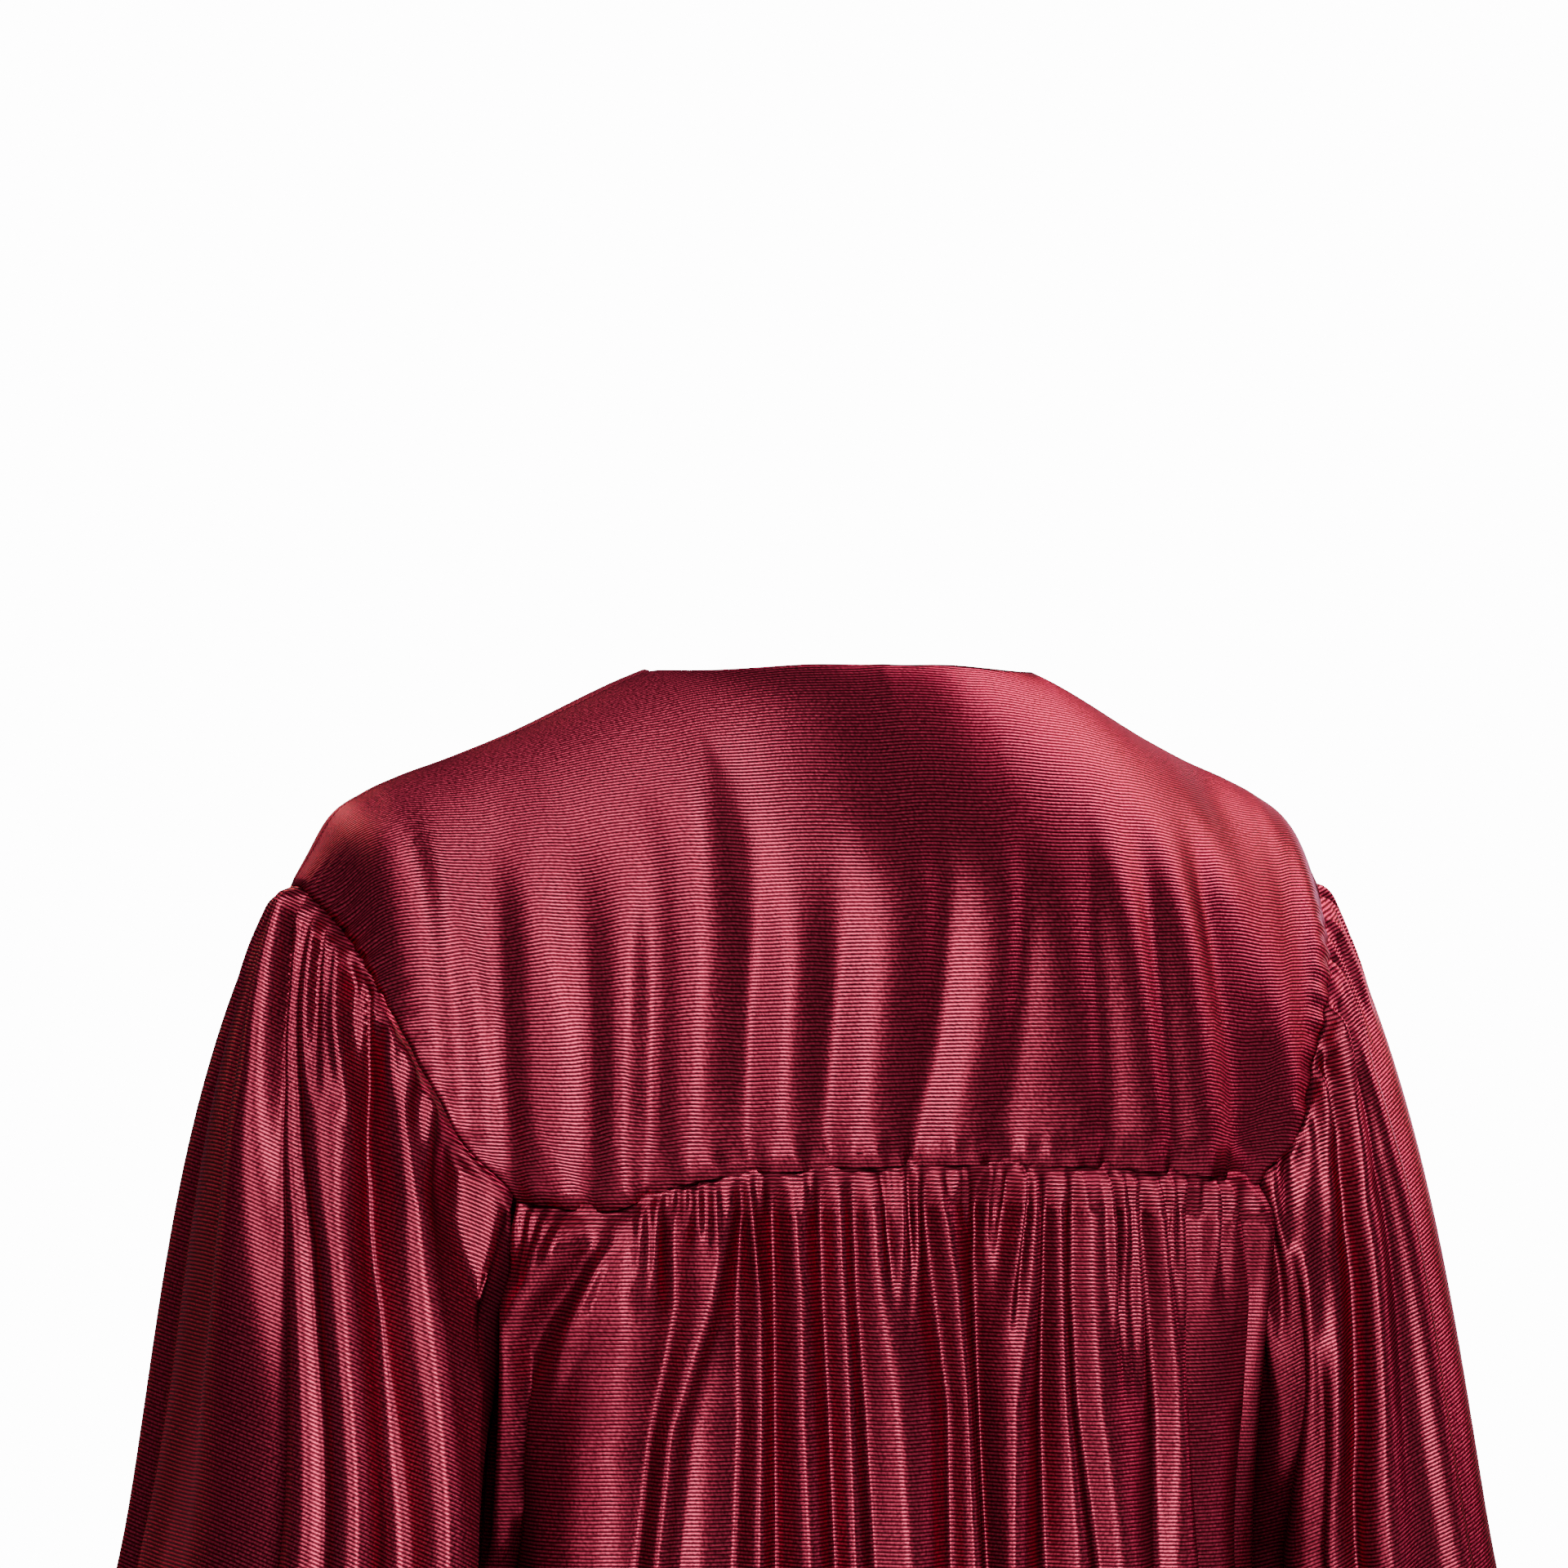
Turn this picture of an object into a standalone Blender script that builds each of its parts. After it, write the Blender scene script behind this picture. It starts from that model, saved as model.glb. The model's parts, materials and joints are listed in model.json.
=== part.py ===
"""A graduation gown as it hangs on a general figure, open at the neck, the cuffs and the hem.

Metres, +Z up. The wearer faces -Y and the wearer's left is +X. The origin is midway between the two points
where the neckline crosses the shoulders, where the wearer holds the gown up.
"""
import math
from collections import namedtuple

import bpy
import numpy as np

# Cloth and seams
CLOTH = 0.0012
SEAM_GAP = 0.0003
YOKE_SEAM_GAP = 0.0006
SIDE_SEAM_GAP = 0.0005
FOLDED_SEAM_GAP = 0.0012
WELD_DISTANCE = 0.00005

# Lengths, measured down from the neck and shoulder points
HEM = -1.220
CUFF = -0.650
BACK_SEAM = -0.193
FRONT_SEAM = -0.185
SEAM_CORNER_DROP = 0.012
SEAM_DIP = 0.009
SEAM_DIP_PLACE = 0.127
SEAM_DIP_WIDTH = 0.021
UNDERARM = (0.157, -0.020, -0.300)

# Neckline
NECK_SHARE = 8.0 / 22.0
BACK_NECK_DEPTH = 0.046
NECK_ROUNDNESS = 2.4
NECK_SLANT = 0.75

# Yoke corners, where the yoke seam meets the armhole
CORNER = 0.156
CORNER_SHARE = 2.0 / 3.0
CORNER_ANGLE = 120.0
LOWER_ARMHOLE_BEND = (0.152, 0.90, -0.285)

# Zip
FRONT_EDGE = 0.004
ZIP_SHARE = 0.50
TAPE_WIDTH = 0.024
TAPE = 0.0010
SLIDER = (0.0068, 0.0110)
SLIDER_HEIGHT = -0.203
SLIDER_STANDS = 0.0016
EAR = (0.0014, 0.0026)
PULL = (0.0060, 0.0014, 0.0240)
PULL_REACH = 0.0042
BARREL_RADIUS = 0.0009

# Smoothness of the worn shape
YOKE_ROUNDNESS = 2.3
BODY_ROUNDNESS = 3.0
BODY_MIDDLE = -0.020
SLEEVE_ROUNDNESS = 3.1
CAP_END = -0.360
SEAM_EASE = 0.160

Shoulder = namedtuple("Shoulder", "across ridge ridge_y back front")
SHOULDER = [
    Shoulder(0.000, 0.0180, 0.004, 0.1050, -0.1460),
    Shoulder(0.030, 0.0160, 0.003, 0.1045, -0.1457),
    Shoulder(0.080, 0.000, 0.000, 0.098, -0.138),
    Shoulder(0.134, -0.026, -0.016, 0.080, -0.112),
    Shoulder(0.156, -0.035, -0.023, 0.064, -0.098),
    Shoulder(0.175, -0.042, -0.027, 0.056, -0.090),
    Shoulder(0.188, -0.048, -0.029, 0.051, -0.084),
    Shoulder(0.202, -0.058, -0.030, 0.039, -0.076),
    Shoulder(0.211, -0.072, -0.029, 0.018, -0.064),
    Shoulder(0.220, -0.086, -0.028, 0.002, -0.052),
]

Armhole = namedtuple("Armhole", "turn across")
ARMHOLE = [
    Armhole(0.00, 0.2195),
    Armhole(0.25, 0.2165),
    Armhole(0.45, 0.2105),
    Armhole(0.64, 0.2020),
    Armhole(0.75, 0.1945),
    Armhole(0.86, 0.1840),
    Armhole(0.94, 0.1735),
    Armhole(1.00, 0.1560),
]

Section = namedtuple("Section", "height half_width back front")
BODY = [
    Section(-0.200, 0.160, 0.105, -0.147),
    Section(-0.300, 0.156, 0.112, -0.151),
    Section(-0.360, 0.157, 0.118, -0.154),
    Section(-0.450, 0.166, 0.128, -0.162),
    Section(-0.550, 0.183, 0.142, -0.174),
    Section(-0.650, 0.200, 0.156, -0.186),
    Section(-0.800, 0.226, 0.176, -0.206),
    Section(-1.000, 0.260, 0.202, -0.232),
    Section(-1.220, 0.292, 0.226, -0.256),
]

Ring = namedtuple("Ring", "height inner outer back front")
LEFT_SLEEVE = [
    Ring(-0.300, 0.168, 0.260, 0.116, -0.142),
    Ring(-0.360, 0.174, 0.270, 0.126, -0.150),
    Ring(-0.450, 0.187, 0.290, 0.130, -0.158),
    Ring(-0.550, 0.206, 0.312, 0.134, -0.166),
    Ring(-0.650, 0.226, 0.334, 0.138, -0.174),
]
RIGHT_SLEEVE = [
    Ring(-0.300, 0.168, 0.256, 0.088, -0.152),
    Ring(-0.360, 0.174, 0.265, 0.090, -0.162),
    Ring(-0.450, 0.187, 0.285, 0.096, -0.170),
    Ring(-0.550, 0.206, 0.307, 0.102, -0.178),
    Ring(-0.650, 0.226, 0.329, 0.108, -0.186),
]

# How steeply a sleeve leaves the armhole, outwards and backwards, for each metre that it falls
CapStart = namedtuple("CapStart", "angle out back")
CAP_STARTS = [
    CapStart(-180.0, 0.30, 0.00),
    CapStart(-150.0, 0.46, -0.10),
    CapStart(-118.0, 0.50, -0.25),
    CapStart(-60.0, 0.42, -0.30),
    CapStart(0.0, 0.52, 0.00),
    CapStart(60.0, 0.42, 0.25),
    CapStart(118.0, 0.50, 0.25),
    CapStart(150.0, 0.46, 0.10),
    CapStart(180.0, 0.30, 0.00),
]

# Places round the body count 0 at the centre and 1 at a side seam, to the wearer's left where positive.
Fold = namedtuple("Fold", "seam waist hem width depth hem_depth end")
BACK_FOLDS = [
    Fold(0.958, 0.920, 0.900, 0.040, 0.003, 0.016, HEM),
    Fold(0.854, 0.820, 0.790, 0.040, 0.004, 0.020, HEM),
    Fold(0.760, 0.740, 0.690, 0.040, 0.004, 0.020, HEM),
    Fold(0.644, 0.650, 0.620, 0.038, 0.013, 0.020, HEM),
    Fold(0.598, 0.590, 0.550, 0.034, 0.008, 0.020, HEM),
    Fold(0.526, 0.500, 0.490, 0.028, 0.006, 0.000, -0.340),
    Fold(0.457, 0.466, 0.450, 0.034, 0.008, 0.020, HEM),
    Fold(0.367, 0.408, 0.380, 0.030, 0.007, 0.010, -0.900),
    Fold(0.313, 0.302, 0.320, 0.030, 0.008, 0.022, HEM),
    Fold(0.277, 0.285, 0.300, 0.018, 0.004, 0.000, -0.270),
    Fold(0.250, 0.222, 0.240, 0.026, 0.006, 0.008, -0.800),
    Fold(0.170, 0.150, 0.170, 0.032, 0.008, 0.022, HEM),
    Fold(0.117, 0.060, 0.070, 0.030, 0.007, 0.018, HEM),
    Fold(0.058, 0.020, 0.020, 0.024, 0.005, 0.000, -0.300),
    Fold(0.021, 0.010, 0.010, 0.020, 0.003, 0.000, -0.260),
    Fold(-0.013, -0.053, -0.050, 0.034, 0.010, 0.018, HEM),
    Fold(-0.104, -0.118, -0.140, 0.034, 0.010, 0.024, HEM),
    Fold(-0.182, -0.165, -0.180, 0.026, 0.005, 0.000, -0.320),
    Fold(-0.223, -0.240, -0.250, 0.032, 0.008, 0.018, HEM),
    Fold(-0.291, -0.316, -0.350, 0.034, 0.008, 0.022, HEM),
    Fold(-0.390, -0.380, -0.400, 0.030, 0.006, 0.000, -0.360),
    Fold(-0.474, -0.446, -0.470, 0.036, 0.008, 0.022, HEM),
    Fold(-0.540, -0.570, -0.570, 0.032, 0.007, 0.016, HEM),
    Fold(-0.646, -0.650, -0.660, 0.044, 0.013, 0.022, HEM),
    Fold(-0.771, -0.740, -0.750, 0.040, 0.004, 0.018, HEM),
    Fold(-0.865, -0.830, -0.830, 0.036, 0.003, 0.016, HEM),
    Fold(-0.958, -0.920, -0.910, 0.036, 0.003, 0.016, HEM),
]
FRONT_FOLDS = [
    Fold(0.150, 0.170, 0.200, 0.030, 0.006, 0.018, HEM),
    Fold(0.215, 0.240, 0.280, 0.028, 0.007, 0.012, -0.900),
    Fold(0.270, 0.300, 0.340, 0.030, 0.007, 0.020, HEM),
    Fold(0.335, 0.360, 0.390, 0.028, 0.006, 0.000, -0.420),
    Fold(0.395, 0.420, 0.460, 0.032, 0.008, 0.022, HEM),
    Fold(0.460, 0.480, 0.500, 0.028, 0.006, 0.000, -0.400),
    Fold(0.520, 0.545, 0.570, 0.034, 0.008, 0.022, HEM),
    Fold(0.590, 0.620, 0.640, 0.032, 0.007, 0.010, -0.850),
    Fold(0.690, 0.710, 0.720, 0.046, 0.006, 0.024, HEM),
    Fold(0.810, 0.820, 0.820, 0.040, 0.004, 0.018, HEM),
    Fold(0.920, 0.920, 0.915, 0.036, 0.003, 0.014, HEM),
]

# Places round a sleeve are degrees, 0 at the outer side, positive at the back and 180 at the underarm.
SleeveFold = namedtuple("SleeveFold", "seam elbow cuff width depth cuff_depth")
LEFT_SLEEVE_FOLDS = [
    SleeveFold(-120.0, -118.0, -112.0, 15.0, 0.006, 0.014),
    SleeveFold(-88.0, -86.0, -84.0, 14.0, 0.007, 0.016),
    SleeveFold(-60.0, -58.0, -52.0, 13.0, 0.007, 0.014),
    SleeveFold(-32.0, -28.0, -20.0, 13.0, 0.006, 0.012),
    SleeveFold(6.0, -2.0, 2.0, 12.0, 0.004, 0.010),
    SleeveFold(34.0, 19.0, 22.0, 12.0, 0.006, 0.012),
    SleeveFold(52.0, 63.0, 60.0, 13.0, 0.007, 0.014),
    SleeveFold(72.0, 83.0, 82.0, 10.0, 0.008, 0.014),
    SleeveFold(94.0, 107.0, 108.0, 12.0, 0.009, 0.018),
    SleeveFold(118.0, 132.0, 136.0, 12.0, 0.006, 0.014),
]
RIGHT_SLEEVE_FOLDS = [
    SleeveFold(-118.0, -116.0, -110.0, 15.0, 0.006, 0.014),
    SleeveFold(-86.0, -84.0, -82.0, 14.0, 0.007, 0.016),
    SleeveFold(-58.0, -56.0, -50.0, 13.0, 0.007, 0.014),
    SleeveFold(-30.0, -26.0, -18.0, 13.0, 0.005, 0.012),
    SleeveFold(4.0, 8.0, 10.0, 13.0, 0.004, 0.010),
    SleeveFold(40.0, 44.0, 42.0, 14.0, 0.005, 0.012),
    SleeveFold(70.0, 78.0, 76.0, 13.0, 0.006, 0.014),
    SleeveFold(90.0, 120.0, 118.0, 11.0, 0.010, 0.018),
    SleeveFold(112.0, 146.0, 148.0, 11.0, 0.007, 0.012),
]
GATHER_START = 0.12
GATHER_GROWTH = 0.030
ARMHOLE_GROWTH = 0.400
ARMHOLE_CALM = 0.58
CAP_GATHER_GROWTH = 0.18
FLARE_TOP = -0.420
FOLD_WIDENING = 0.4

# Mesh rows and columns of each piece, and how far below its top seam each row of a long piece lies
PANEL_ROWS = [0.0, 0.012, 0.030, 0.060, 0.100, 0.160, 0.240, 0.350, 0.500, 0.660, 0.830, 1.0]
BACK_COLUMNS = 96
FRONT_COLUMNS = 48
SLEEVE_COLUMNS = 48
SLEEVE_ROWS = [0.0, 0.10, 0.25, 0.45, 0.70, 1.0, 1.3, 1.65, 2.0]
YOKE_COLUMNS = 44
FRONT_YOKE_COLUMNS = 14
YOKE_ROWS = 8

SATIN = ((0.230, 0.020, 0.040), 0.38, 0.0)
TAPE_CLOTH = ((0.120, 0.010, 0.020), 0.75, 0.0)
ZIP_METAL = ((0.320, 0.060, 0.070), 0.35, 0.6)


def follow(table, column, at):
    """Read a table column as a smooth curve over the table's first column."""
    places = np.array([row[0] for row in table], float)
    values = np.array([getattr(row, column) for row in table], float)
    if places[0] > places[-1]:
        places, values = places[::-1], values[::-1]
    slopes = np.gradient(values, places)
    at = np.clip(at, places[0], places[-1])
    i = np.clip(np.searchsorted(places, at, side="right") - 1, 0, len(places) - 2)
    gap = places[i + 1] - places[i]
    return hermite((at - places[i]) / gap, values[i], gap * slopes[i], values[i + 1], gap * slopes[i + 1])


def hermite(t, start, start_slope, end, end_slope):
    """A cubic from start to end with the slopes given at its ends."""
    rise = t * t * (3.0 - 2.0 * t)
    return ((1.0 - rise) * start + rise * end
            + t * (1.0 - t) ** 2 * start_slope - t * t * (1.0 - t) * end_slope)


def ease(value, start, end):
    """0 before start, 1 after end, and smooth between."""
    t = np.clip((value - start) / (end - start), 0.0, 1.0)
    return t * t * (3.0 - 2.0 * t)


def rounded(value, roundness):
    """A sine or cosine bent from a circle's towards a box's."""
    return np.sign(value) * np.abs(value) ** (2.0 / roundness)


def side_name(front):
    return "front" if front else "back"


def seam_height(across, front):
    """The yoke seam falls towards the armholes, and dips once at the wearer's left of the back."""
    drop = SEAM_CORNER_DROP * (across / CORNER) ** 2
    if front:
        return FRONT_SEAM - drop
    dip = SEAM_DIP * np.exp(-((across - SEAM_DIP_PLACE) / SEAM_DIP_WIDTH) ** 2)
    return BACK_SEAM - drop - dip


def yoke_point(across, turn, front):
    """The yoke, from the shoulder ridge at turn 0 to its seam at a quarter turn."""
    out = np.abs(across)
    low = seam_height(across, front)
    ridge = follow(SHOULDER, "ridge", out)
    ridge_y = follow(SHOULDER, "ridge_y", out)
    reach = follow(SHOULDER, side_name(front), out)
    y = ridge_y + (reach - ridge_y) * rounded(np.sin(turn), YOKE_ROUNDNESS)
    z = low + (ridge - low) * rounded(np.cos(turn), YOKE_ROUNDNESS)
    return across, y, z


def armhole_across(turn):
    return follow(ARMHOLE, "across", turn / (math.pi / 2))


def ring_turns():
    """Shares of the way round a quarter of the body, for evenly spaced corner angles."""
    angles = np.linspace(0.0, math.pi / 2, 400)
    x = BODY[0].half_width * rounded(np.sin(angles), BODY_ROUNDNESS)
    y = (BODY[0].back - BODY_MIDDLE) * rounded(np.cos(angles), BODY_ROUNDNESS)
    lengths = np.concatenate([[0.0], np.cumsum(np.hypot(np.diff(x), np.diff(y)))])
    return lengths / lengths[-1], angles


RING_SHARES, RING_ANGLES = ring_turns()


def body_ring(share, z, front):
    """A point of the body's section at height z, and the outward direction there."""
    angle = np.interp(share, RING_SHARES, RING_ANGLES)
    half_width = follow(BODY, "half_width", z)
    depth = follow(BODY, side_name(front), z) - BODY_MIDDLE
    x = rounded(np.sin(angle), BODY_ROUNDNESS)
    y = rounded(np.cos(angle), BODY_ROUNDNESS)
    out_x = x ** (BODY_ROUNDNESS - 1.0) / half_width
    out_y = y ** (BODY_ROUNDNESS - 1.0) / depth
    length = np.hypot(out_x, out_y)
    return half_width * x, BODY_MIDDLE + depth * y, out_x / length, out_y / length


def panel_top(share, side, front):
    """The upper edge of a body panel: the yoke seam, then the lower armhole down to the underarm."""
    across = side * CORNER * np.clip(share / CORNER_SHARE, 0.0, 1.0)
    reach = follow(SHOULDER, side_name(front), np.abs(across))
    seam = seam_height(across, front)
    bend_x, bend_share, bend_z = LOWER_ARMHOLE_BEND
    corner = (CORNER, follow(SHOULDER, side_name(front), CORNER), seam_height(side * CORNER, front))
    middle = (bend_x, corner[1] * bend_share, bend_z)
    t = np.clip((share - CORNER_SHARE) / (1.0 - CORNER_SHARE), 0.0, 1.0)
    curve = [(1 - t) ** 2 * corner[k] + 2 * t * (1 - t) * middle[k] + t * t * UNDERARM[k] for k in range(3)]
    on_seam = share <= CORNER_SHARE
    return (np.where(on_seam, np.abs(across), curve[0]),
            np.where(on_seam, reach, curve[1]),
            np.where(on_seam, seam, curve[2]))


def bump(distance, width):
    """A soft ridge, 1 at its crest and 0 beyond its half width."""
    return np.cos(np.clip(distance / width, -1.0, 1.0) * math.pi / 2) ** 2


def fold_lift(folds, place, below_seam, z):
    """How far the folds lift a body panel's cloth outwards."""
    lift = np.zeros_like(z)
    growth = GATHER_GROWTH + ARMHOLE_GROWTH * ease(np.abs(place), ARMHOLE_CALM, 1.0)
    grown = GATHER_START * ease(CORNER_SHARE - np.abs(place), 0.0, GATHER_GROWTH)
    grown = grown + (1.0 - grown) * ease(below_seam, 0.0, growth)
    for fold in folds:
        to_waist = ease(-z, -BACK_SEAM, -CAP_END)
        to_hem = np.clip((CAP_END - z) / (CAP_END - HEM), 0.0, 1.0)
        centre = fold.seam + (fold.waist - fold.seam) * to_waist + (fold.hem - fold.waist) * to_hem
        depth = fold.depth * grown + (fold.hem_depth - fold.depth) * ease(FLARE_TOP - z, 0.0, FLARE_TOP - HEM)
        if fold.end > HEM:
            depth = depth * ease(z, fold.end, fold.end + (CAP_END - FLARE_TOP))
        widened = fold.width * (1.0 + FOLD_WIDENING * to_hem)
        lift = lift + depth * bump(place - centre, widened)
    return lift


def panel_point(place, down, front, folds):
    """A body panel's cloth at a place round the body, from its top edge at down 0 to the hem at 1."""
    share = np.abs(place)
    side = np.where(place < 0.0, -1.0, 1.0)
    top_x, top_y, top_z = panel_top(share, side, front)
    top_z = top_z - YOKE_SEAM_GAP
    z = top_z + (HEM - top_z) * down
    x, y, out_x, out_y = body_ring(share, z, front)
    ring_x, ring_y, _, _ = body_ring(share, top_z, front)
    kept = 1.0 - ease(top_z - z, 0.0, SEAM_EASE)
    lift = fold_lift(folds, place, top_z - z, z)
    x = x + (top_x - ring_x) * kept + out_x * lift
    y = y + (top_y - ring_y) * kept + out_y * lift
    return side * x, y, z


def armhole_loop(angle, side):
    """The armhole edge: the yokes' side edges above the corners, the body panels' below."""
    around = np.abs(angle)
    front = angle < 0.0
    turn = np.clip(around / CORNER_ANGLE, 0.0, 1.0) * math.pi / 2
    across = armhole_across(turn)
    lower = np.clip((around - CORNER_ANGLE) / (180.0 - CORNER_ANGLE), 0.0, 1.0)
    share = CORNER_SHARE + (1.0 - CORNER_SHARE) * lower
    above = around <= CORNER_ANGLE
    edges = []
    for is_front in (False, True):
        upper = (across, *yoke_point(side * across, turn, is_front)[1:])
        below = panel_top(share, side, is_front)
        edges.append([np.where(above, high, low) for high, low in zip(upper, below)])
    return [np.where(front, on_front, on_back) for on_back, on_front in zip(*edges)]


def sleeve_ring(rings, angle, z):
    """A point of a sleeve's section at height z, and the outward direction there."""
    inner, outer = follow(rings, "inner", z), follow(rings, "outer", z)
    back, front = follow(rings, "back", z), follow(rings, "front", z)
    half_width, half_depth = (outer - inner) / 2, (back - front) / 2
    x = rounded(np.cos(np.radians(angle)), SLEEVE_ROUNDNESS)
    y = rounded(np.sin(np.radians(angle)), SLEEVE_ROUNDNESS)
    out_x = rounded(x, 2.0 / (SLEEVE_ROUNDNESS - 1.0)) / half_width
    out_y = rounded(y, 2.0 / (SLEEVE_ROUNDNESS - 1.0)) / half_depth
    length = np.hypot(out_x, out_y)
    return ((inner + outer) / 2 + half_width * x, (back + front) / 2 + half_depth * y,
            out_x / length, out_y / length)


def sleeve_lift(folds, angle, down):
    """How far the folds lift a sleeve's cloth outwards."""
    lift = np.zeros_like(angle)
    for fold in folds:
        centre = (fold.seam + (fold.elbow - fold.seam) * ease(down, 0.0, 1.0)
                  + (fold.cuff - fold.elbow) * np.clip(down - 1.0, 0.0, 1.0))
        grown = GATHER_START + (1.0 - GATHER_START) * ease(down, 0.0, CAP_GATHER_GROWTH)
        depth = fold.depth * grown + (fold.cuff_depth - fold.depth) * ease(down, 1.0, 2.0)
        lift = lift + depth * bump(angle - centre, fold.width)
    return lift


def sleeve_point(rings, folds, angle, down, side):
    """A sleeve's cloth, from the armhole at down 0, past the cap's end at 1, to the cuff at 2."""
    hole_x, hole_y, hole_z = armhole_loop(angle, side)
    hole_x = hole_x + FOLDED_SEAM_GAP
    hole_z = hole_z - SEAM_GAP
    at_end = np.full_like(angle, CAP_END)
    end_x, end_y, _, _ = sleeve_ring(rings, angle, at_end)
    next_x, next_y, _, _ = sleeve_ring(rings, angle, at_end - CLOTH)
    drop = hole_z - CAP_END
    out, back = follow(CAP_STARTS, "out", angle), follow(CAP_STARTS, "back", angle)
    t = np.clip(down, 0.0, 1.0)
    cap_x = hermite(t, hole_x, out * drop, end_x, (next_x - end_x) / CLOTH * drop)
    cap_y = hermite(t, hole_y, back * drop, end_y, (next_y - end_y) / CLOTH * drop)
    cap_z = hole_z - drop * t
    arm_z = CAP_END + (CUFF - CAP_END) * np.clip(down - 1.0, 0.0, 1.0)
    arm_x, arm_y, out_x, out_y = sleeve_ring(rings, angle, arm_z)
    lift = sleeve_lift(folds, angle, down)
    below = down > 1.0
    x = np.where(below, arm_x, cap_x) + out_x * lift
    y = np.where(below, arm_y, cap_y) + out_y * lift
    return x, y, np.where(below, arm_z, cap_z)


def neck_turn(across):
    """Where the back neckline crosses the yoke, as a turn from the shoulder ridge."""
    half_width = NECK_SHARE * armhole_across(0.0)
    inside = np.clip(1.0 - (np.abs(across) / half_width) ** NECK_ROUNDNESS, 0.0, 1.0)
    depth = BACK_NECK_DEPTH * inside ** (1.0 / NECK_ROUNDNESS)
    ridge_y = follow(SHOULDER, "ridge_y", np.abs(across))
    reach = follow(SHOULDER, "back", np.abs(across)) - ridge_y
    swing = np.clip(depth / reach, 0.0, 1.0) ** (YOKE_ROUNDNESS / 2.0)
    return np.arcsin(swing)


def yoke_back(u, v):
    """The back yoke, between the armholes and down from the neckline and shoulder seams."""
    start = neck_turn(armhole_across(0.0) * (1.0 - 2.0 * u))
    turn = start + (math.pi / 2 - start) * v
    x, y, z = yoke_point(armhole_across(turn) * (1.0 - 2.0 * u), turn, False)
    return x, y + FOLDED_SEAM_GAP, z


def yoke_front(side):
    """A front yoke, between its armhole and the slanting neck edge that ends at the zip."""
    def place(u, v):
        turn = v * math.pi / 2
        share = u if side > 0 else 1.0 - u
        neck = FRONT_EDGE + (NECK_SHARE * armhole_across(0.0) - FRONT_EDGE) * (1.0 - v) ** NECK_SLANT
        across = neck + (armhole_across(turn) - neck) * share
        return yoke_point(side * across, turn, True)
    return place


def back_panel(u, v):
    x, y, z = panel_point(1.0 - 2.0 * u, v, False, BACK_FOLDS)
    return x, y + SIDE_SEAM_GAP / 2, z


def front_panel(side):
    """A front panel, from the zip edge to its side seam."""
    def place(u, v):
        share = u if side > 0 else 1.0 - u
        x, y, z = panel_point(side * share, v, True, [mirrored(fold, side) for fold in FRONT_FOLDS])
        edge = FRONT_EDGE * np.clip(1.0 - share / CORNER_SHARE, 0.0, 1.0)
        return x + side * edge, y - SIDE_SEAM_GAP / 2, z
    return place


def mirrored(fold, side):
    return fold._replace(seam=side * fold.seam, waist=side * fold.waist, hem=side * fold.hem)


def sleeve(side, rings, folds):
    """A sleeve, seamed under the arm."""
    def place(u, v):
        angle = side * (360.0 * u - 180.0)
        down = np.interp(v, np.linspace(0.0, 1.0, len(SLEEVE_ROWS)), SLEEVE_ROWS)
        x, y, z = sleeve_point(rings, folds, angle, down, side)
        return side * x, y, z
    return place


def zip_tape(u, v):
    """The zip's tape, behind the two front edges."""
    top = FRONT_SEAM - YOKE_SEAM_GAP
    z = top + (HEM - top) * v * ZIP_SHARE
    return (u - 0.5) * TAPE_WIDTH, front_edge_y(z) + CLOTH + SEAM_GAP, z


def front_edge_y(z):
    """Where the outside of the front panels lies at the centre front."""
    top_x, top_y, top_z = panel_top(np.zeros_like(z), 1.0, True)
    kept = 1.0 - ease(top_z - z, 0.0, SEAM_EASE)
    at_top = body_ring(np.zeros_like(z), top_z, True)[1]
    return body_ring(np.zeros_like(z), z, True)[1] + (top_y - at_top) * kept


def clear_scene():
    for old in list(bpy.data.objects):
        bpy.data.objects.remove(old, do_unlink=True)


def make_collection(name):
    collection = bpy.data.collections.new(name)
    bpy.context.scene.collection.children.link(collection)
    return collection


def make_material(name, look):
    colour, roughness, metallic = look
    material = bpy.data.materials.new(name)
    material.use_nodes = True
    shader = material.node_tree.nodes["Principled BSDF"]
    shader.inputs["Base Color"].default_value = (*colour, 1.0)
    shader.inputs["Roughness"].default_value = roughness
    shader.inputs["Metallic"].default_value = metallic
    return material


def keep(obj, name, material, collection):
    """Name an object, give it its material and move it to the garment's collection."""
    obj.name = name
    obj.data.name = name
    obj.data.materials.clear()
    obj.data.materials.append(material)
    for holder in list(obj.users_collection):
        holder.objects.unlink(obj)
    collection.objects.link(obj)
    return obj


def cloth_piece(name, columns, rows, place, material, collection, wall=CLOTH, closed=False):
    """A wall of cloth: a grid laid out by a function of its two shares, then thickened inwards."""
    down_shares = rows if isinstance(rows, list) else list(np.linspace(0.0, 1.0, rows + 1))
    bpy.ops.mesh.primitive_grid_add(x_subdivisions=columns, y_subdivisions=len(down_shares) - 1, size=1.0)
    obj = keep(bpy.context.object, name, material, collection)
    corners = np.empty(3 * len(obj.data.vertices))
    obj.data.vertices.foreach_get("co", corners)
    u = corners[0::3] + 0.5
    v = np.interp(0.5 - corners[1::3], np.linspace(0.0, 1.0, len(down_shares)), down_shares)
    corners[0::3], corners[1::3], corners[2::3] = place(u, v)
    obj.data.vertices.foreach_set("co", corners)
    if closed:
        weld = obj.modifiers.new("Underarm seam", "WELD")
        weld.merge_threshold = WELD_DISTANCE
    thick = obj.modifiers.new("Cloth", "SOLIDIFY")
    thick.thickness = wall
    thick.offset = -1.0
    obj.data.shade_smooth()
    return obj


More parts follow.
